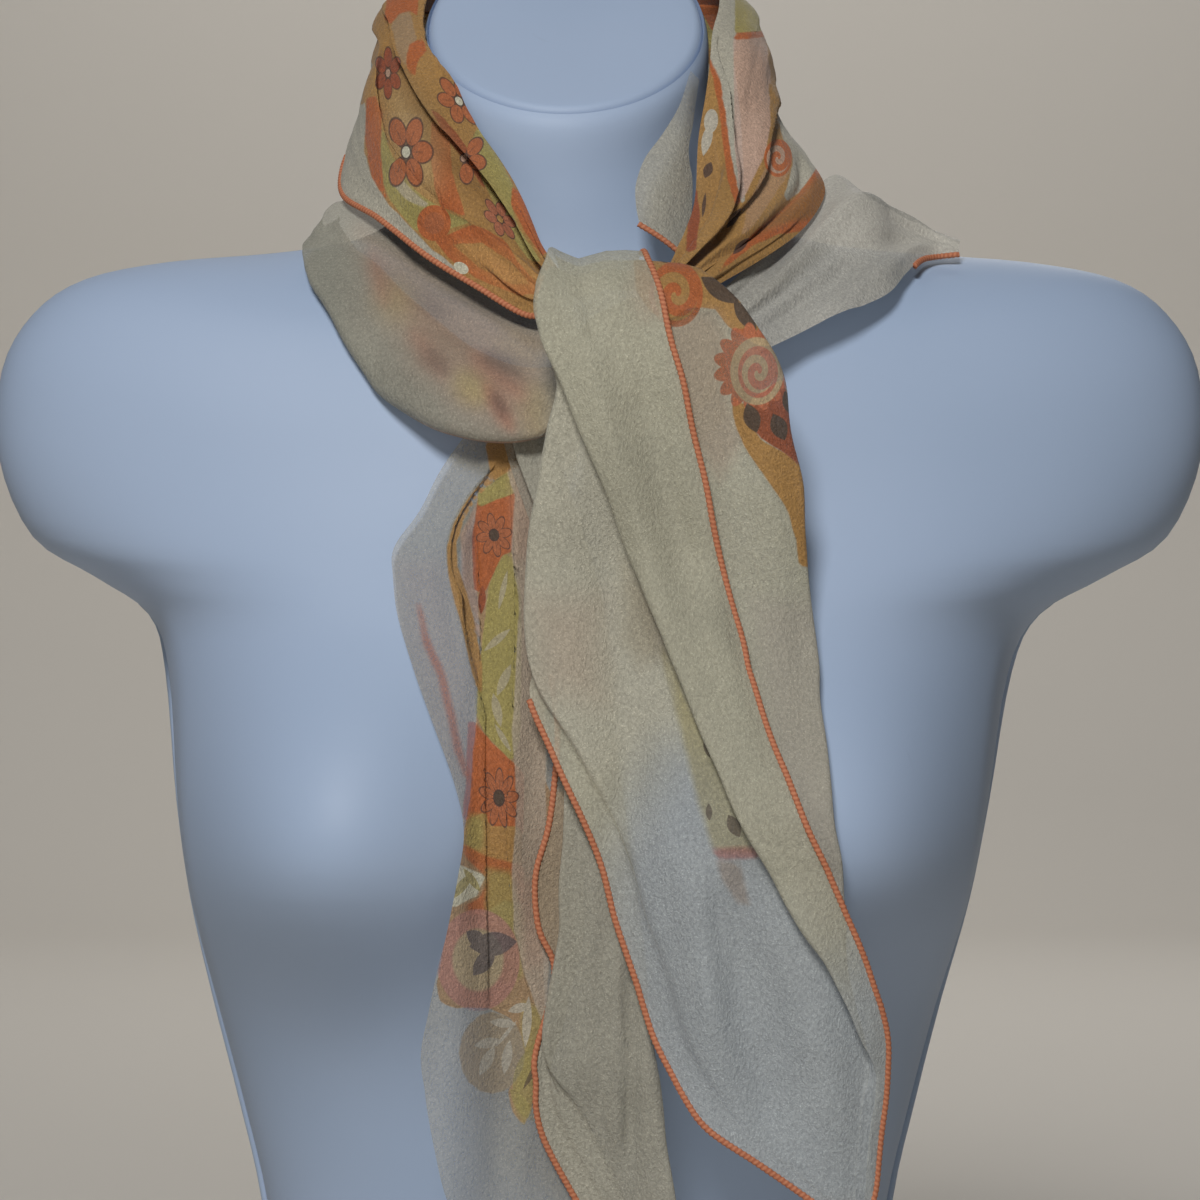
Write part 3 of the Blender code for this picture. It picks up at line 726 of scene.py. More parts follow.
def back_grid(steps=6):
    table = smooth_rows(TAIL_BACK, steps)
    rows = []
    for i, z in enumerate(table["z"]):
        at = {name: column[i] for name, column in table.items()}
        rails = [at[name] for name in ("left", "right", "front", "inner", "hem")]
        depths = (0, *(BACK_LAYER_GAP + k * at["gap"] for k in (2, 1, 0)))
        section = folded_section(rails, depths, BACK_STEPS)
        row = []
        for x, depth, layer, travelled in opened(section, at["left"]):
            rise = 0.0
            if layer == 0:
                shift, rise = pleat_shift(z, x, BACK_PLEATS)
                x += shift * ease((x - at["left"]) / 4)
            out = hang.out(x, z) + BACK_STAND_OFF + depth + crease_height(x, z, BACK_CREASES)
            row.append((clear_of_form(place(x, out + rise, z), FORM_GAP + depth), layer,
                        (travelled, z)))
        rows.append(row)
    return Grid(rows)


# ---------------- camera

CAMERA_OUT, CAMERA_Z, VIEW_WIDTH = 1300.0, 350.0, 420.0


def to_view(points):
    """Points as they appear in the view, in 1200ths of its width from its top left."""
    size = VIEW_WIDTH / 1200 * (CAMERA_OUT + points[..., 1]) / CAMERA_OUT
    return np.stack((600 + points[..., 0] / size, 600 - (points[..., 2] - CAMERA_Z) / size), -1)


# ---------------- node materials

PAINTS = {name: tuple(map(float, rgb)) for name, *rgb in map(str.split, """
cream 0.53 0.505 0.385
shaded_cream 0.40 0.375 0.30
blush 0.40 0.28 0.215
gold 0.365 0.20 0.062
tan 0.33 0.215 0.115
olive 0.32 0.265 0.085
white_olive 0.38 0.33 0.22
orange 0.40 0.113 0.033
rust 0.27 0.075 0.03
peach 0.42 0.27 0.19
pale 0.43 0.39 0.31
rose 0.36 0.12 0.085
dark 0.07 0.04 0.03
smoke 0.085 0.054 0.034
flower 0.37 0.118 0.045
dusk 0.33 0.115 0.06
brick 0.27 0.075 0.035
honey 0.43 0.31 0.155
valley 0.15 0.075 0.022
amber 0.47 0.23 0.075
salmon 0.49 0.335 0.27
umber 0.27 0.125 0.035
veil 0.41 0.30 0.215
stain 0.10 0.085 0.075
glow 0.43 0.35 0.16
flush 0.43 0.18 0.11
mist 0.385 0.42 0.45
warm 0.40 0.345 0.29
smudge 0.24 0.19 0.11
scallop 0.42 0.128 0.055
straw 0.43 0.31 0.17
coral 0.44 0.145 0.08
sheer_pink 0.43 0.36 0.28
panel 0.37 0.35 0.28
medallion 0.32 0.255 0.165
old_rose 0.38 0.19 0.15
sage 0.36 0.30 0.18
ink 0.11 0.09 0.09
wing_left 0.345 0.335 0.27
wing_right 0.45 0.43 0.375
plastic 0.345 0.435 0.585
plastic_light 0.375 0.465 0.62
scuff 0.2 0.24 0.33
thread_dark 0.42 0.135 0.066
thread_light 0.57 0.225 0.118
floor 0.66 0.62 0.56
""".strip().splitlines())}


class Value:
    """A node's output, for use in sums."""

    def __init__(self, shader, socket):
        self.shader, self.socket = shader, socket

    def math(self, kind, *others):
        return self.shader.math(kind, self, *others)

    def times(self, factor, plus):
        return self.math("MULTIPLY_ADD", factor, plus)

    def __add__(self, other):
        return self.math("ADD", other)

    def __sub__(self, other):
        return self.math("SUBTRACT", other)

    def __rsub__(self, other):
        return self.shader.math("SUBTRACT", other, self)

    def __mul__(self, other):
        return self.math("MULTIPLY", other)

    def __truediv__(self, other):
        return self.math("DIVIDE", other)

    def __abs__(self):
        return self.math("ABSOLUTE")


class Shader:
    """Adds nodes to a material; a value may be a number, a colour, a paint's name or a Value."""

    def __init__(self, name, roughness, specular=0.3, sheen=0.0):
        self.material = bpy.data.materials.new(name)
        self.material.use_nodes = True
        self.tree = self.material.node_tree
        self.surface = self.tree.nodes["Principled BSDF"]
        for name, value in (("Roughness", roughness), ("Specular IOR Level", specular),
                            ("Sheen Weight", sheen)):
            self.surface.inputs[name].default_value = value
        self.object = self.node("TexCoord", {}, "Object")
        self.flat = self.node("UVMap", {}, uv_map="flat")
        self.front = self.node("UVMap", {}, uv_map="front")
        self.colour = None

    def node(self, kind, values, output=0, **settings):
        """Adds a node with its settings, and values by the names or numbers of its inputs."""
        made = self.tree.nodes.new("ShaderNode" + kind)
        for name, setting in settings.items():
            setattr(made, name, setting)
        for key, value in values.items():
            self.feed(made.inputs[key], value)
        return Value(self, made.outputs[output])

    def feed(self, socket, value):
        if isinstance(value, Value):
            self.tree.links.new(value.socket, socket)
        elif socket.type == "RGBA":
            socket.default_value = (*PAINTS.get(value, value), 1.0)
        else:
            socket.default_value = value

    def math(self, kind, *values):
        return self.node("Math", dict(enumerate(values)), operation=kind)

    def mix(self, factor, under, over):
        return self.node("Mix", {0: factor, 6: under, 7: over}, 2, data_type="RGBA")

    def paint(self, share, colour):
        """Lays a colour over what is there."""
        self.colour = self.mix(share, self.colour, colour)

    def step(self, value, low, high):
        """0 at or below low, 1 at or above high, and smooth between."""
        return self.node("MapRange", {0: value, 1: low, 2: high, 3: 0.0, 4: 1.0},
                         interpolation_type="SMOOTHSTEP")

    def scaled(self, vector, size):
        return self.node("Mapping", {0: vector, "Scale": size})

    def cloud(self, vector, scale, detail=2.0, distortion=0.0):
        return self.node("TexNoise", {"Vector": vector, "Scale": scale, "Detail": detail,
                                      "Distortion": distortion})

    def attribute(self, name):
        return self.node("Attribute", {}, "Fac", attribute_name=name)

    def parts(self, vector):
        """The x and y of a vector."""
        x = self.node("SeparateXYZ", {0: vector})
        return x, Value(self, x.socket.node.outputs[1])

    def local(self, frame):
        """Coordinates x, y and radius in a motif's frame.

        The frame is its centre, its layer, half its width and height, and its turn. Without a
        layer the centre is in flat coordinates, and with one it is a place in the view.
        """
        x, y, layer, wide, tall, turn = (*frame, 0.0)[:6]
        spots, centre = (self.flat, (x, y, 0)) if layer is None else (self.front, (x, -y, 0))
        spots = self.node("Mapping", {0: spots, "Location": centre, "Rotation": (0, 0, turn),
                                      "Scale": (wide, tall, 1)}, vector_type="TEXTURE")
        x, y = self.parts(spots)
        radius = self.node("VectorMath", {0: spots}, "Value", operation="LENGTH")
        if layer is not None:
            away = self.attribute("layer").math("COMPARE", layer, 0.4).times(-100.0, 100.0)
            x, radius = x + away, radius + away
        return x, y, radius

    def flower(self, frame, petals, fill="flower", heart="peach", core=0.2, start=0.0, upto=None):
        """A flower of outlined oval petals, each with a vein, round a small heart.

        The first petal points along x, or start of a petal's turn from it; upto leaves out
        those more than so many from it.
        """
        x, y, radius = self.local(frame)
        sector = 2 * math.pi / petals
        turned = self.math("ARCTAN2", y, x) / sector + start
        number = turned.math("ROUND")
        offset = (turned - number) * sector
        along, aside = radius * offset.math("COSINE"), radius * offset.math("SINE")
        far, wide = (along - 0.60) / 0.40, aside / (0.51 * math.tan(sector / 2))
        oval = (far * far + wide * wide).math("SQRT")
        if upto is not None:
            left_out = abs(number).math("GREATER_THAN", upto + 0.5)
            oval, along = left_out.times(10.0, oval), left_out.times(10.0, along)
        self.paint(self.step(oval, 1.05, 0.97), fill)
        self.paint(self.step(abs(oval - 1.0), 0.12, 0.05) * 0.8, "dark")
        vein = self.step(abs(aside), 0.022, 0.008) * self.step(abs(along - 0.45), 0.2, 0.16)
        self.paint(vein * 0.5, "dark")
        self.paint(self.step(radius, core + 0.07, core + 0.03), "dark")
        self.paint(self.step(radius, core + 0.02, core - 0.02), heart)

    def disc(self, frame, fill, scallops=0, ring=None, spiral=None, share=1.0, coils=2.3):
        """A round motif: plain or scalloped, with a ring or a spiral of another colour in it."""
        x, y, radius = self.local(frame)
        turned = self.math("ARCTAN2", y, x)
        edge = 1.0
        if scallops:
            edge = abs((turned * (scallops / 2)).math("COSINE")).times(0.2, 0.8)
        self.paint(self.step(edge - radius, -0.02, 0.03) * share, fill)
        if ring:
            self.paint(self.step(radius, 0.66, 0.56) * share, ring)
        if spiral:
            arm = (radius * coils - turned / (2 * math.pi)).math("FRACT")
            self.paint(self.step(abs(arm - 0.5), 0.27, 0.21) * self.step(radius, 0.84, 0.78),
                       spiral)

    def leaves(self, fill, frames, share=1.0):
        """Pointed leaves, one along the x of each frame."""
        cover = None
        for frame in frames:
            x, y, _ = self.local(frame)
            blade = self.step(1.0 - x * x - abs(y), 0.0, 0.14)
            cover = cover.math("MAXIMUM", blade) if cover else blade
        self.paint(cover * share, fill)

    def finish(self, height, distance, strength, cover=1.0):
        """Gives the surface the colour so far, a relief from the height, and its cover."""
        relief = self.node("Bump", {"Strength": strength, "Distance": distance,
                                    "Height": height})
        self.feed(self.surface.inputs["Base Color"], self.colour)
        self.feed(self.surface.inputs["Alpha"], cover)
        self.feed(self.surface.inputs["Normal"], relief)
        return self.material


def make_plastic():
    shader = Shader("pale_plastic", 0.55, specular=0.35)
    shader.colour = shader.mix(shader.step(shader.cloud(shader.object, 9.0, 1.0), 0.3, 0.7),
                               "plastic", "plastic_light")
    streaks = shader.cloud(shader.scaled(shader.object, (1.0, 1.0, 0.35)), 60.0, 3.0, 1.4)
    shader.paint(shader.step(streaks, 0.72, 0.80) * 0.10, "scuff")
    return shader.finish(shader.cloud(shader.object, 220.0, 1.0), 0.0004, 0.08)


def make_thread():
    """Hem thread: its flat coordinates are millimetres along and an angle round."""
    shader = Shader("orange_thread", 0.62, specular=0.25)
    along, angle = shader.parts(shader.flat)
    wave = along.times(2 * math.pi / STITCH, angle).math("COSINE")
    crest = wave.times(0.35, shader.cloud(shader.flat, 0.8))
    # The stitch colour follows the ribs: painted highlight on each crest and painted shade in the
    # grooves between them.
    shader.colour = shader.mix(shader.step(crest, 0.1, 0.9), "thread_dark", "thread_light")
    fine = shader.cloud(shader.scaled(shader.flat, (1.0, 4.0, 1.0)), 3.0, 2.0)
    return shader.finish(fine, 0.0003, 0.4)


def cloth(name, colour, cover, zones=(), motifs=None):
    """Chiffon of a colour, its zones, the motifs that a function lays over them, and its weave."""
    shader = Shader(name, 0.6, 0.25, 0.12)
    patches = shader.step(shader.cloud(shader.flat, 0.02, 2.0), 0.35, 0.65)
    shader.colour = shader.mix(patches, colour, tuple(0.92 * c for c in PAINTS[colour]))
    wander = shader.cloud(shader.flat, 0.16) - 0.5
    for k, zone in enumerate(zones):
        there = shader.step(shader.attribute(f"zone{k}") + wander, -0.33 * zone.soft,
                            0.33 * zone.soft)
        shader.paint(there * zone.share if zone.share < 1 else there, zone.paint)
        if zone.cover is not None:
            cover = shader.node("Mix", {0: there, 2: cover, 3: zone.cover}, data_type="FLOAT")
    if motifs:
        motifs(shader)
    # The crepe: a mottled tone, fine uneven relief, and painted glints, where the colour is
    # lightened at a few scattered threads as if they caught the light.
    crinkle = shader.cloud(shader.scaled(shader.object, (1.0, 1.0, 0.7)), 1150.0, 2.0, 0.5)
    threads = shader.cloud(shader.object, 2100.0, 1.0)
    tone = shader.node("MapRange", {0: crinkle, 1: 0.3, 2: 0.7, 3: 0.83, 4: 1.17})
    soft = shader.cloud(shader.object, 28.0, 1.0).times(0.22, 0.89)
    toned = shader.node("HueSaturation", {"Value": tone * soft, "Color": shader.colour})
    painted_glints = shader.step(threads, 0.60, 0.72).times(0.42, 1.0)
    shader.colour = shader.node("VectorMath", {0: toned, "Scale": painted_glints}, operation="SCALE")
    return shader.finish(threads.times(0.35, crinkle), 0.0011, 0.6, cover)


# ---------------- zones of print, and some of painted shade and light

# A patch of colour on one layer of a sheet, or on all if layer is None. Its corners are in the
# view, or in flat coordinates; share is how much it colours, soft half the width of its edge
# in thirds of a millimetre, and cover how dense the cloth is there.
Zone = namedtuple("Zone", "paint layer corners share soft cover flat",
                  defaults=(1.0, 1.0, None, False))


def oval(x, y, wide, tall, turn=0.0):
    """Corners of an ellipse in the view, by its half width and height."""
    c, s = math.cos(turn), math.sin(turn)
    return [(x + wide * math.cos(a) * c + tall * math.sin(a) * s,
             y - wide * math.cos(a) * s + tall * math.sin(a) * c)
            for a in np.linspace(0, 2 * math.pi, 16, endpoint=False)]


def read_zones(text):
    """Zones from lines of paint, layer, share, soft and cover, and then corners or an oval."""
    made = []
    for line in re.sub(r"\n +", " ", text.strip()).splitlines():
        head, spots = line.split(":")
        paint, layer, *rest = head.split()
        spots = spots.split()
        corners = (oval(*map(float, spots[1:])) if spots[0] == "oval"
                   else [[float(n) for n in spot.split(",")] for spot in spots])
        made.append(Zone(paint, int(layer), corners, *map(float, rest)))
    return made


def signed_distance(spots, corners):
    """Distance of 2-D spots to a closed outline, above 0 inside it."""
    corners = np.array(corners, dtype=float)
    inside = np.zeros(spots.shape[:-1], dtype=bool)
    least = np.full(spots.shape[:-1], 1e9)
    for a, b in zip(corners, np.roll(corners, -1, axis=0)):
        run = b - a
        t = np.clip(((spots - a) @ run) / max(run @ run, 1e-9), 0, 1)
        least = np.minimum(least, np.linalg.norm(spots - a - t[..., None] * run, axis=-1))
        crosses = (a[1] > spots[..., 1]) != (b[1] > spots[..., 1])
        slope = np.where(crosses, (spots[..., 1] - a[1]) / (b[1] - a[1] + 1e-12), 0)
        inside ^= crosses & (spots[..., 0] < a[0] + slope * run[0])
    return np.where(inside, least, -least)


def fields_of(grid, zones):
    """For each zone, its signed distance at every point of the sheet, in mm."""
    view = to_view(grid.points)
    fields = {}
    for k, zone in enumerate(zones):
        field = (signed_distance(grid.flat, zone.corners) if zone.flat
                 else 0.33 * signed_distance(view, zone.corners))
        there = zone.layer is None or grid.layers == zone.layer
        fields[f"zone{k}"] = np.where(there, field, -20.0)
    fields["layer"] = grid.layers
    return fields


# ---------------- making the pieces

GROUP = bpy.data.collections.new("Looks")
bpy.context.scene.collection.children.link(GROUP)


def make_mesh(name, points, faces, material, flat=None, fields=None, front=None):
    """A smooth piece from points in millimetres, with flat coordinates and named fields."""
    mesh = bpy.data.meshes.new(name)
    mesh.from_pydata(np.asarray(points) * MM, [], faces)
    mesh.shade_smooth()
    mesh.materials.append(material)
    index = np.zeros(len(mesh.loops), dtype=np.int32)
    mesh.loops.foreach_get("vertex_index", index)
    for label, spots in (("flat", flat), ("front", front)):
        if spots is not None:
            layer = mesh.uv_layers.new(name=label)
            layer.data.foreach_set("uv", np.asarray(spots, dtype=np.float32)[index].ravel())
    for field, values in (fields or {}).items():
        made = mesh.attributes.new(field, "FLOAT", "POINT")
        made.data.foreach_set("value", np.asarray(values, dtype=np.float32).ravel())
    piece = bpy.data.objects.new(name, mesh)
    GROUP.objects.link(piece)
    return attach(piece, "root")


def sheet_piece(name, grid, cloth_name, colour, cover, zones=(), motifs=None):
    rows, cols, _ = grid.points.shape
    return make_mesh(name, grid.points.reshape(-1, 3), grid_faces(rows, cols),
                     cloth(cloth_name, colour, cover, zones, motifs), grid.flat.reshape(-1, 2),
                     fields_of(grid, zones), to_view(grid.points).reshape(-1, 2) * (1, -1))


def unit(rows):
    return rows / np.linalg.norm(rows, axis=1, keepdims=True)


def hem_piece(name, edge, inner, radius=1.0, around=10):
    """An overlocked hem: a cord along an edge with a slanted rib for each stitch."""
    edge, inner = [Vector(p) for p in edge], [Vector(p) for p in inner]
    distance = run_length(edge)
    at = np.linspace(0, distance[-1], int(distance[-1] / (STITCH / 4)))
    line, side = (np.array([np.interp(at, distance, column) for column in np.array(rows).T]).T
                  for rows in (edge, [(p - q).normalized() for p, q in zip(edge, inner)]))
    for _ in range(12):
        for rows in (line, side):
            rows[1:-1] = (rows[:-2] + 2 * rows[1:-1] + rows[2:]) / 4
    run = unit(np.gradient(line, axis=0))
    side = unit(side - run * (side * run).sum(1, keepdims=True))
    up = np.cross(run, side)
    points, flat = [], []
    for k, along in enumerate(at):
        for angle in 2 * math.pi * np.arange(around) / around:
            rib = 1 + 0.12 * math.cos(2 * math.pi * along / STITCH + angle)
            near = radius * rib * (math.cos(angle) * side[k] + 0.8 * math.sin(angle) * up[k])
            points.append(line[k] + near + side[k] * radius * 0.5)
            flat.append((along, angle))
    return make_mesh(name, points, tube_faces(len(at), around, flip=True), thread, flat)


# ---------------- the form

RIM_TURN = 1            # points of the shell's rings from its side back to the moulded rim
RIM_ROWS = 38           # rings up to where the rim runs out under the arm
RIM_RADIUS = 1.8


def rounded_lip(rows, radius=3.5, steps=5):
    """The rows with the cut of the neck rounded over and its disc drawn in to the middle."""
    rim = rows[-1]
    middle = sum(rim, Vector()) / len(rim)
    up = (rim[0] - middle).cross(rim[len(rim) // 4] - middle).normalized()
    up = up if up.z > 0 else -up
    rows = rows[:-1] + [[p - up * radius for p in rim]]
    for k in range(1, steps + 1):
        angle = math.pi / 2 * k / steps
        rows.append([p - up * radius * (1 - math.sin(angle))
                     + (middle - p).normalized() * radius * (1 - math.cos(angle)) for p in rim])
    brim = rows[-1]
    for share in (0.9, 0.6, 0.3, 0.02):
        rows.append([middle.lerp(p, share) - up * 0.8 * (1 - share) for p in brim])
    return rows


def make_form(material):
    rows = rounded_lip(shell)
    piece = make_mesh("form_shell", [tuple(p) for row in rows for p in row],
                      tube_faces(len(rows), FORM_SIDES), material)
    piece.data.set_sharp_from_angle(angle=math.radians(60))
    return piece


def rim_bead(name, side, around=12):
    """The moulded rim down one side of the torso, where its front and back halves meet."""
    j = RIM_TURN if side > 0 else FORM_SIDES // 2 - RIM_TURN
    points = []
    for i, row in enumerate(shell[:RIM_ROWS]):
        radius = RIM_RADIUS * (0.25 + 0.75 * ease((RIM_ROWS - 1 - i) / 6))
        for k in range(around):
            angle = 2 * math.pi * k / around
            points.append((row[j].x + side * (1.2 + radius * math.cos(angle)),
                           row[j].y + radius * math.sin(angle), row[j].z))
    return make_mesh(name, points, tube_faces(RIM_ROWS, around), pale)


pale = make_plastic()
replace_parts(make_form(pale), "form")
rim_bead("form_rim_left", -1)
rim_bead("form_rim_right", 1)

# ---------------- the band round the neck

band = band_grid()
lengths = band.flat[:, 0, 0]
# On the band, the dark brown band along the inner roll's fold is painted shade in the pleat's
# valley.
# The brighter gold patch near the knot is painted light, laid over the shade that the pleats cast
# there.
BAND_ZONES = read_zones("""
orange 0: 388,-10 420,-10 417,15 410,11 400,14 391,24 384,20
tan 0: 391,24 400,14 410,11 417,40 409,52 407,72 396,48
orange 0: 410,44 422,38 428,50 418,60 415,76 407,72 406,56
orange 0: 432,118 450,140 452,172 466,217 441,207 435,190 430,150
rust 0: 430,108 440,114 462,140 480,168 490,190 482,186 462,158 446,138
olive 0: 478,126 500,160 514,186 511,205 520,230 542,262 530,262 505,226 487,190 468,150
orange 0: 512,185 527,200 537,225 552,248 542,256 525,232 511,205
olive 0: 380,120 392,155 410,185 430,202 448,212 470,222 440,232 415,232 390,200 378,170
white_olive 0: 388,165 396,172 410,188 428,204 424,208 406,200 392,184
orange 0: 366,98 376,96 382,112 381,150 383,182 388,204 372,180 365,140
orange 0: 434,240 475,224 505,240 518,262 545,292 520,296 478,279 450,259
gold 0: 452,244 482,243 512,262 530,284 512,284 480,268
honey 0 0.6 22: 385,95 400,80 425,112 440,150 432,190 415,185 398,150
valley 0 0.6 24: 398,62 418,92 430,112 455,145 470,168 487,190 510,226 500,236 476,206 450,178
    432,150 410,114 396,85
amber 0 0.9 20: 462,250 500,256 540,280 545,298 500,286
shaded_cream 0: 366,102 364,150 371,176 388,204 412,228 430,248 450,263 462,276 474,296 460,300
    420,268 350,224 325,190 325,140 350,110
shaded_cream 2: 700,-20 738,-20 738,20 734,60 741,120 745,205 739,201 732,172 725,145 716,78
    704,50
salmon 2 0.8: 733,36 765,34 771,75 771,125 766,152 741,203 735,150
olive 2: 735,-20 752,-10 765,31 735,33
orange 2: 734,33 765,31 765,37 734,40
gold 2: 769,82 783,98 786,112 771,128
shaded_cream 2: 777,112 787,106 798,138 792,148 783,142
orange 2: 702,46 706,50 719,77 725,108 730,150 741,203 735,204 727,176 720,120 714,80
peach 2 0.4: 768,162 790,150 790,172 755,224 741,238 748,205
shaded_cream 2: 788,140 800,142 822,160 812,176 799,193 787,201 784,196 789,180 793,160
orange 2: 822,158 840,172 838,195 830,212 822,228 780,234 755,244 717,274 735,250 786,206 800,192
    813,174
umber 2 0.85 5: 822,172 829,184 822,216 790,222 752,236 786,207 802,192
rust 2: 690,178 697,190 700,215 695,255 686,252 688,215
""") + [Zone(paint, layer, [(lengths[row], v) for row, v in corners], flat=True)
        for paint, layer, corners in (
            ("olive", 1, [(52, -5), (70, -5), (66, 24), (56, 20)]),
            ("orange", 1, [(68, 8), (84, 4), (86, 30), (74, 34)]),
            ("shaded_cream", None, [(44, 36), (57, 43), (70, 46), (84, 42), (100, 46),
                                    (100, 70), (40, 70)]))]


def band_motifs(on):
    on.flower((388, 73, 0, 14, 26), 6, "brick", core=0.16, start=0.5)
    on.flower((459, 101, 0, 29, 18, -0.9), 6, core=0.17, heart="cream")
    on.flower((406, 152, 0, 27, 38), 6, core=0.15, heart="cream", upto=2)
    on.flower((464, 158, 0, 23, 27, -0.3), 6, core=0.14, upto=1)
    on.flower((500, 219, 0, 24, 12, -0.95), 6, "dusk", "gold", core=0.18)
    on.disc((434, 223, 0, 17, 18), "orange", ring="flower")
    on.disc((461, 268, 0, 8, 5.5, -0.5), "cream")
    on.disc((711, 121, 2, 7, 12, -0.1), "pale")
    on.leaves("pale", [(707, 139, 2, 18, 5.5, 1.35)])
    on.leaves("dark", [(708, 170, 2, 9, 5, 1.2), (704, 205, 2, 13, 2, 1.45),
                       (734, 218, 2, 13, 4, 0.95), (741, 246, 2, 12, 4, 0.8)], 0.9)
    on.disc((778, 158, 2, 14, 19), "orange", spiral="peach", coils=1.5)
    # Behind the neck, where the centres are in flat coordinates.
    u = np.linspace(lengths[8 * BAND_STEPS], lengths[12 * BAND_STEPS], 6)
    on.flower((u[1], 22, None, 11, 11, 0.3), 5)
    on.flower((u[3], 16, None, 10, 10, 0.8), 6)
    on.disc((u[2], 34, None, 9, 9), "orange", scallops=12, spiral="tan")
    on.leaves("olive", [(u[4], 26, None, 12, 4, 0.5), (u[4] + 6, 34, None, 10, 3.5, -0.4),
                        (u[0] + 6, 12, None, 10, 3, 0.2)])


band = band.ruffled((26, 9), 0.8, 3.0)
collar = sheet_piece("collar", band, "print_collar", "gold", 0.97, BAND_ZONES, band_motifs)
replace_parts(collar, "collar_left", "collar_back", "collar_right")

FLAP_ZONES = read_zones("""
shaded_cream 0 1 40 0.15: 670,40 720,40 712,112 690,112
""")
flap_grid = patch_grid(NECK_FLAP, None, 8, 33).ruffled((20, 12), 0.5, 5.0)
flap = sheet_piece("neck_flap_cloth", flap_grid, "border_flap", "shaded_cream", 0.80, FLAP_ZONES)
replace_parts(flap, "neck_flap")

# ---------------- the wings

WING_LEFT_ZONES = read_zones("""
veil 0 0.85 26: 362,232 400,250 450,285 520,325 545,335 545,440 507,427 455,394 420,366 385,306
glow 0 0.45 22: oval 396 300 18 20
glow 0 0.75 14: oval 472 388 20 15 -0.7
glow 0 0.5 18: oval 536 412 14 26
glow 0 0.25 18: oval 520 350 22 12 -0.5
flush 0 0.4 12: oval 378 278 7 26 0.25
flush 0 0.4 12: oval 428 354 28 8 -0.95
flush 0 0.5 12: oval 498 376 34 12 -0.7
flush 0 0.6 8: oval 499 408 28 8 -1.05
stain 0 0.34 18: oval 430 308 20 10 -0.4
stain 0 0.48 13: oval 436 361 15 9 -0.9
stain 0 0.62 11: oval 503 366 21 8 -0.5
stain 0 0.62 8: oval 499 404 15 6 -1.1
peach 1 1 20: 340,220 520,320 545,330 545,460 430,430 350,330
orange 1 1 14: 372,262 410,272 470,310 500,345 470,352 430,330 385,300
orange 1 0.9 12: 440,390 500,392 520,415 500,440 450,430
""")
pouch = pouch_grid(WING_LEFT, WING_LEFT_CREASES, 10).ruffled((30, 10), 0.8, 7.0)
# The wing's base paint is a darker, greyer copy of the cream chiffon: painted shade.
wing_left = sheet_piece("wing_left_cloth", pouch, "border_wing_left", "wing_left", 0.70,
                        WING_LEFT_ZONES)
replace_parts(wing_left, "wing_left")

wing = patch_grid(WING_RIGHT, WING_RIGHT_CREASES, 12, 61).ruffled((30, 10), 0.9, 11.0)
# The wing's base paint is a darker, greyer copy of the cream chiffon: painted shade.
wing_right = sheet_piece("wing_right_cloth", wing, "border_wing_right", "wing_right", 0.80)
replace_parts(wing_right, "wing_right")

# ---------------- the front tail

# Left of the main fold, the dark brownish patch is partly painted shade beside the fold and partly
# print showing through from the layer behind.
# Over the sheer lower tail, a pale bluish paint stands in for the lit form seen through the cloth:
# painted light in place of the cloth's shadow on the form.
FRONT_ZONES = read_zones("""
gold 2 1 1 0.93: 630,225 685,225 712,262 745,290 764,325 775,345 760,346 729,327 715,309 690,307
    668,320 650,312 636,290
peach 2 0.45 12: 665,322 690,309 715,311 728,330 722,380 735,410 745,440 720,480 690,440 672,370
gold 2 1 1 0.93: 731,396 746,402 750,424 762,440 785,453 803,468 813,500 814,568 799,566 796,540
    787,509 766,478 746,450 735,425
rust 2 1 1 0.9: 746,402 782,378 800,430 806,470 785,453 762,440 750,424
orange 2: 736,325 752,330 764,345 760,352 742,346
shaded_cream 1 0.6 44 0.86: 500,200 700,200 700,620 690,730 640,770 540,830 500,700
mist 1 0.75 50 0.7: 600,870 640,800 668,755 760,740 900,900 900,1230 560,1230 590,950
mist 0 0.75 50 0.7: 600,870 640,800 668,755 760,740 900,900 900,1230 560,1230 590,950
mist 2 0.75 30 0.7: 700,900 830,900 900,1000 900,1230 700,1230
mist 3 0.7 60 0.68: 790,990 900,960 900,1230 790,1230
warm 2 0.55 20: 752,600 840,600 850,900 820,960 775,800
peach 3 0.35 16: oval 646 292 14 28 0.1
olive 1 0.62 5 0.8: 660,645 672,662 690,708 712,742 732,795 757,852 714,852 697,800 683,740
    671,690
rose 1 0.7 3 0.75: 712,848 757,846 760,858 716,860
tan 1 0.5 4 0.7: 716,860 740,862 750,905 738,904 722,880
smoke 1 0.42 14: 646,560 664,590 672,650 660,660 650,620 640,580
smudge 1 0.45 14: 622,560 655,600 664,652 640,668 622,640
peach 1 0.3 30: 530,600 600,600 600,700 540,690
""")


def front_motifs(on):
    on.disc((676, 294, 2, 27, 33), "orange", spiral="gold", coils=1.5)
    on.leaves("smoke", [(720, 290, 2, 24, 10, -0.6), (745, 316, 2, 20, 8, -0.95),
                        (666, 259, 2, 6, 4, 0.4)])
    on.disc((753, 367, 2, 40, 45), "scallop", scallops=15)
    on.disc((757, 371, 2, 27, 34), "straw")
    on.disc((758, 372, 2, 20, 26), "coral", spiral="straw", coils=1.5)
    on.leaves("smoke", [(752, 418, 2, 16, 9, -1.25), (779, 427, 2, 15, 9, -1.15),
                        (787, 402, 2, 12, 5, -1.4)])
    on.leaves("smoke", [(707, 748, 1, 10, 3.5, -1.3), (709, 812, 1, 9, 3.5, 1.6),
                        (734, 826, 1, 13, 7, -1.1)], 0.75)


front = front_grid().ruffled((14, 34), 0.8, 13.0)
tail_front = sheet_piece("tail_front_cloth", front, "border_tail_front", "cream", 0.60,
                         FRONT_ZONES, front_motifs)
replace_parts(tail_front, "tail_front")

# ---------------- the back tail

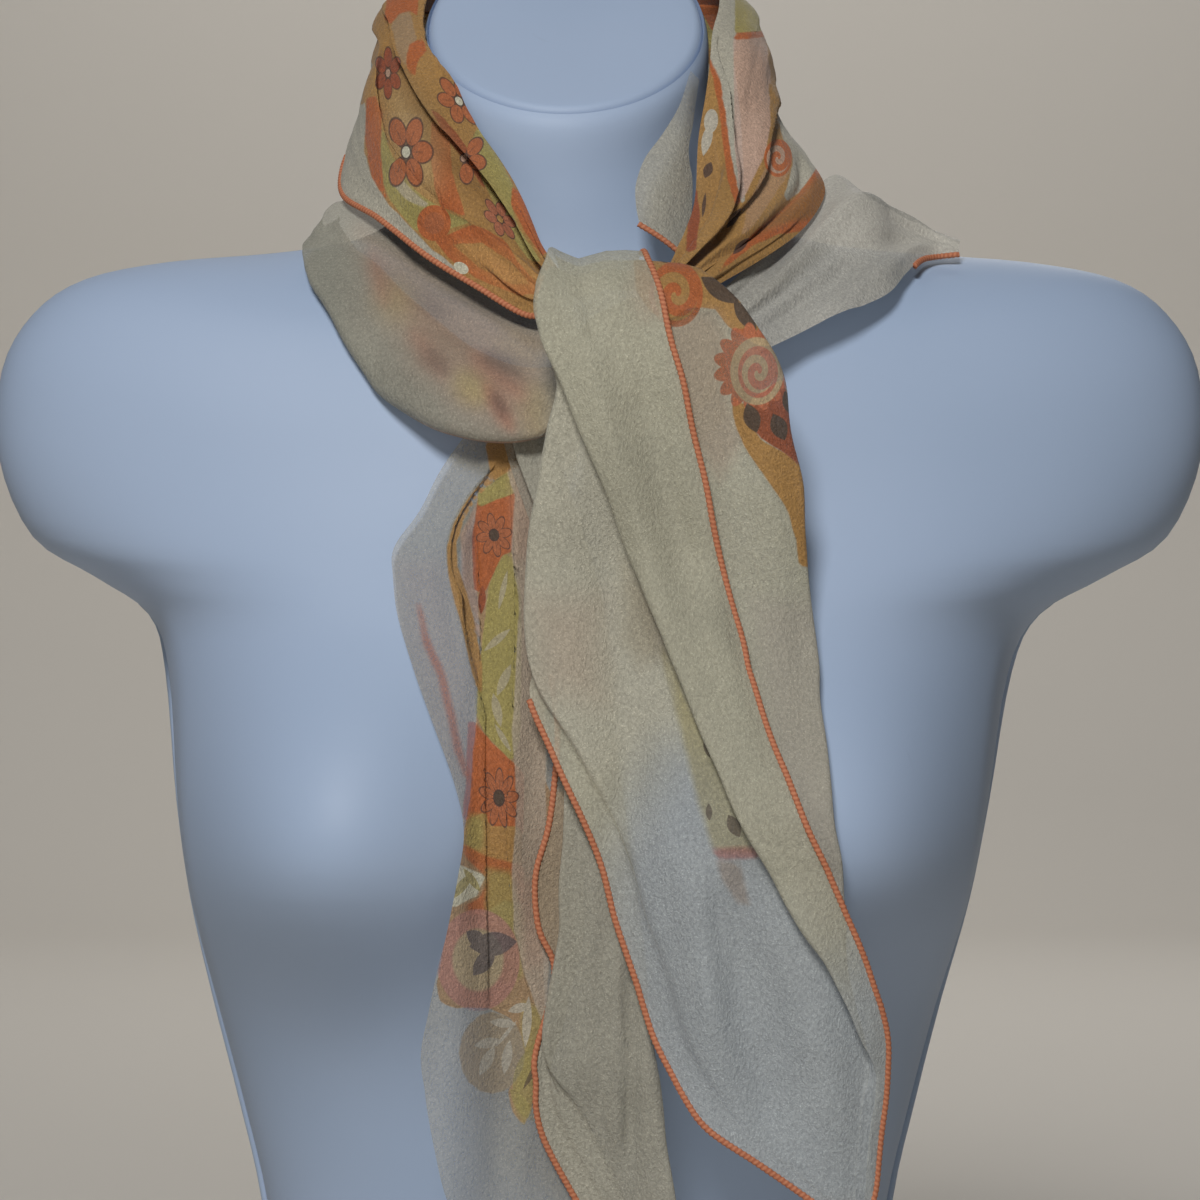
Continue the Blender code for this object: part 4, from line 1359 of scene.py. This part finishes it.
BACK_ZONES = read_zones("""
blush 0 0.35 20: 395,560 445,560 480,690 470,790 440,770 400,640
orange 0 0.75 3 0.6: 416,604 421,604 430,640 444,670 455,712 462,750 472,778 465,780 454,750
    446,712 436,672 422,642
gold 0 1 1 0.92: 484,440 545,440 530,462 505,476 492,480
peach 0 0.8 2 0.75: 460,535 478,500 480,560 482,640 476,660 470,610 462,580
tan 0 1 1 0.92: 478,492 507,474 530,470 545,520 545,780 556,800 540,900 545,1010 540,1060 532,1108
    524,1126 512,1112 508,1092 520,1060 512,1020 490,1008 455,1008 440,1002 436,985 443,952
    460,858 470,800 472,767 478,700 481,640 476,580 474,530
orange 0: 478,500 516,488 512,552 502,556 489,584 485,592 474,592 472,540
olive 0: 478,488 512,470 518,492 496,500 478,508
olive 0: 512,550 502,556 489,584 484,625 480,660 475,712 485,735 512,762 520,740 522,600
orange 0: 468,722 476,722 486,736 512,762 524,770 524,835 484,835 462,820 466,780
gold 0: 462,822 486,812 490,826 522,826 522,885 490,870 455,842
olive 0 0.8 5: 470,815 484,815 484,850 462,850
orange 0 0.85 2: 460,842 486,856 524,866 524,905 505,900 480,915 455,912 480,897 488,878 466,858
cream 0: 452,862 486,876 477,896 452,908
olive 0 0.8 5: 486,868 512,872 524,915 524,975 505,985 486,950
olive 0 0.7 4: 522,1000 545,1010 540,1060 532,1108 524,1126 514,1108 520,1060
medallion 0 1 1 0.78: oval 492 1053 33 41
sheer_pink 0 0.74 1.2 0.88: 506,470 546,460 546,830 556,830 545,1030 524,975 514,928 512,872
    517,800 512,732 516,667 519,600 511,550 515,497
peach 0 0.5 10: 512,470 545,470 545,530 528,560 514,560
peach 0 0.5 10: 518,880 545,880 545,960 524,970
gold 0 0.95 1 0.9: 540,440 523,456 500,476 476,498 463,522 457,542 458,568 467,592 476,630 481,655
    483,695 477,690 469,660 462,628 455,605 448,574 447,548 454,522 468,498 488,474 512,452
panel 1 1 1 0.78: 300,400 900,400 900,1300 300,1300
panel 2 1 1 0.9: 300,960 900,960 900,1300 300,1300
panel 3 1 1 0.95: 300,1000 900,1000 900,1300 300,1300
tan 3 0.6 4 0.85: 530,790 575,790 575,1000 530,1000
""")


def back_motifs(on):
    on.flower((494, 535, 0, 18, 22, 0.2), 8, core=0.24, heart="smoke")
    on.flower((499, 798, 0, 20, 30, 0.1), 9, core=0.24, heart="smoke")
    on.leaves("rust", [(482, 600, 0, 15, 4, 1.5)])
    on.leaves("white_olive", [(503, 590, 0, 21, 3, 1.35), (497, 640, 0, 18, 4, 0.7),
                              (504, 680, 0, 18, 5, 1.15), (497, 710, 0, 18, 5, 1.8),
                              (503, 738, 0, 17, 3, 2.1)], 0.8)
    on.leaves("olive", [(462, 886, 0, 18, 5, 0.9), (472, 880, 0, 15, 4, 2.2)], 0.8)
    on.disc((478, 960, 0, 42, 51), "old_rose", ring="sage", share=0.85)
    on.leaves("ink", [(493, 944, 0, 25, 13, 0.1), (476, 938, 0, 12, 8, -0.6),
                      (484, 962, 0, 18, 9, 0.9)], 0.85)
    on.leaves("pale", [(503, 1023, 0, 14, 5, -0.1), (519, 1008, 0, 12, 5, 0.3),
                       (527, 1022, 0, 27, 5, 1.5), (488, 1043, 0, 15, 5.5, 0.2),
                       (487, 1061, 0, 17, 6, 1.1), (507, 1057, 0, 18, 5.5, 1.4),
                       (506, 1034, 0, 18, 2, 0.9)], 0.85)
    on.leaves("olive", [(524, 1070, 0, 30, 9, 1.2), (522, 1105, 0, 21, 7, 2.2)], 0.7)
    on.leaves("dark", [(533, 1072, 0, 21, 3, 1.05)], 0.7)


back = back_grid().ruffled((12, 34), 0.7, 17.0)
tail_back = sheet_piece("tail_back_cloth", back, "print_tail_back", "shaded_cream", 0.50,
                        BACK_ZONES, back_motifs)
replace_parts(tail_back, "tail_back")

# ---------------- the knot

KNOT_CENTRE = np.array((15.0, -86.0, 427.0))
KNOT_HALF_SIZE = (26.0, 11.0, 20.0)


def make_knot(rows=49, cols=97):
    """The wrapped turn inside the knot: cloth wound round an egg, with slanting folds."""
    points, flat = [], []
    for tilt in math.pi * (0.02 + 0.96 * np.arange(rows) / (rows - 1)):
        for angle in 2 * math.pi * np.arange(cols) / (cols - 1):
            along, ring = -math.cos(tilt), math.sin(tilt)
            wave = math.cos(5 * angle + 5.0 * along) + 0.5 * math.cos(8 * angle - 3.0 * along + 1)
            size = ring * (1 + 0.085 * wave * ring)
            spot = (along, size * math.cos(angle), size * math.sin(angle))
            points.append(KNOT_CENTRE + np.multiply(spot, KNOT_HALF_SIZE))
            flat.append((along * 26, angle * 18))
    return make_mesh("knot_wrap", points, grid_faces(rows, cols), cloth("print_knot", "gold", 1.0),
                     flat)


knot = make_knot()
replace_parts(knot, "knot")
knot_area = sum(face.area for face in knot.data.polygons)
round(knot_area / 0.12, 3)


# ---------------- hems

def corner_edge(grid, down_from, up_to):
    """A tail's edge down its last column, round its tip and up its first, with neighbours."""
    points = grid.points
    tip = (points[-1, 0] + points[-1, -1]) / 2 - np.array((0, 0, 1.0))
    above = tip + np.array((0, 0, 1.0))
    return ([*points[down_from:, -1], tip, *points[up_to:, 0][::-1]],
            [*points[down_from:, -2], above, *points[up_to:, 1][::-1]])


thread = make_thread()
hem_collar = hem_piece("hem_collar", band.points[:43, -1], band.points[:43, -2])
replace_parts(hem_collar, "hem_collar_left")
hem_flap = hem_piece("hem_flap", flap_grid.points[-1], flap_grid.points[-2])
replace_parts(hem_flap, "hem_neck_flap")
hem_wing = hem_piece("hem_wing", wing.points[78:, -1], wing.points[78:, -2])
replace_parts(hem_wing, "hem_wing_right")
hem_front = hem_piece("hem_front", *corner_edge(front, 6, 72))
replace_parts(hem_front, "hem_tail_front")
hem_back = hem_piece("hem_back", *corner_edge(back, 36, -14))
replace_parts(hem_back, "hem_tail_back")

for piece, grid, held, rests_on, hems in (
        (collar, band, "gathered", ["form_shell"], [hem_collar]),
        (flap, flap_grid, "gathered", ["form_shell"], [hem_flap]),
        (wing_left, pouch, "draped", ["form_shell"], []),
        (wing_right, wing, "draped", ["form_shell"], [hem_wing]),
        (tail_front, front, "hung", ["knot_wrap"], [hem_front]),
        (tail_back, back, "hung", ["knot_wrap"], [hem_back])):
    size = grid.area() * MM * MM
    middle = grid.points[:, grid.points.shape[1] // 2]
    span = float(np.linalg.norm(np.diff(middle, axis=0), axis=1).sum()) * MM
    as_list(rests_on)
    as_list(hems)


# ---------------- floor, light and camera

FLOOR_HALF_WIDTH, FLOOR_FRONT, WALL_TOP = 4.5, -4.0, 3.6
CURVE_START, CURVE_RADIUS = 2.6, 0.8


def make_stage():
    """A pale floor that curves up into a wall behind the form."""
    profile = [(FLOOR_FRONT, 0.0), (CURVE_START, 0.0)]
    profile += [(CURVE_START + CURVE_RADIUS * math.sin(a),
                 CURVE_RADIUS - CURVE_RADIUS * math.cos(a))
                for a in np.linspace(0.1, math.pi / 2, 12)]
    profile += [(CURVE_START + CURVE_RADIUS, WALL_TOP)]
    mesh = bpy.data.meshes.new("floor")
    points = [(x, y, z) for y, z in profile for x in (-FLOOR_HALF_WIDTH, FLOOR_HALF_WIDTH)]
    mesh.from_pydata(points, [], [(2 * i, 2 * i + 1, 2 * i + 3, 2 * i + 2)
                                  for i in range(len(profile) - 1)])
    mesh.shade_smooth()
    floor = bpy.data.objects.new("floor", mesh)
    bpy.context.scene.collection.objects.link(floor)
    made = bpy.data.materials.new("floor_paint")
    made.use_nodes = True
    paint = made.node_tree.nodes["Principled BSDF"]
    paint.inputs["Base Color"].default_value = (*PAINTS["floor"], 1)
    paint.inputs["Roughness"].default_value = 0.9
    mesh.materials.append(made)
    floor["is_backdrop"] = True


def add_light(name, place_at, target, size, power):
    lamp = bpy.data.lights.new(name, "AREA")
    lamp.shape, lamp.size, lamp.energy = "DISK", size, power
    thing = bpy.data.objects.new(name, lamp)
    thing.location = place_at
    thing.rotation_mode = "QUATERNION"
    thing.rotation_quaternion = (Vector(target) - Vector(place_at)).to_track_quat("-Z", "Y")
    bpy.context.scene.collection.objects.link(thing)


make_stage()
add_light("key", (-0.45, -2.34, 2.10), (0, 0, 0.34), 0.8, 62)
add_light("front_fill", (0.0, -1.9, 0.55), (0, 0, 0.32), 0.7, 1.0)
add_light("wall_light", (0.0, 1.7, 2.6), (0, 3.4, 0.7), 1.2, 26)
add_light("back_fill", (0.5, 2.2, 1.6), (0, 0, 0.34), 0.9, 5)
world = bpy.data.worlds.new("studio")
world.use_nodes = True
world.node_tree.nodes["Background"].inputs["Color"].default_value = (0.9, 0.95, 1.0, 1)
world.node_tree.nodes["Background"].inputs["Strength"].default_value = 0.025
bpy.context.scene.world = world
bpy.context.scene.view_settings.view_transform = "Standard"

eye = bpy.data.objects.new("camera", bpy.data.cameras.new("camera"))
eye.location = (0, -CAMERA_OUT * MM, CAMERA_Z * MM)
eye.rotation_euler = (math.pi / 2, 0, 0)
eye.data.sensor_width = 36
eye.data.lens = 36 * CAMERA_OUT / VIEW_WIDTH
bpy.context.scene.collection.objects.link(eye)
bpy.context.scene.camera = eye

for low_corner, high_corner in (CAD_BOX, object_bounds()):
    list(low_corner)
    list(high_corner)
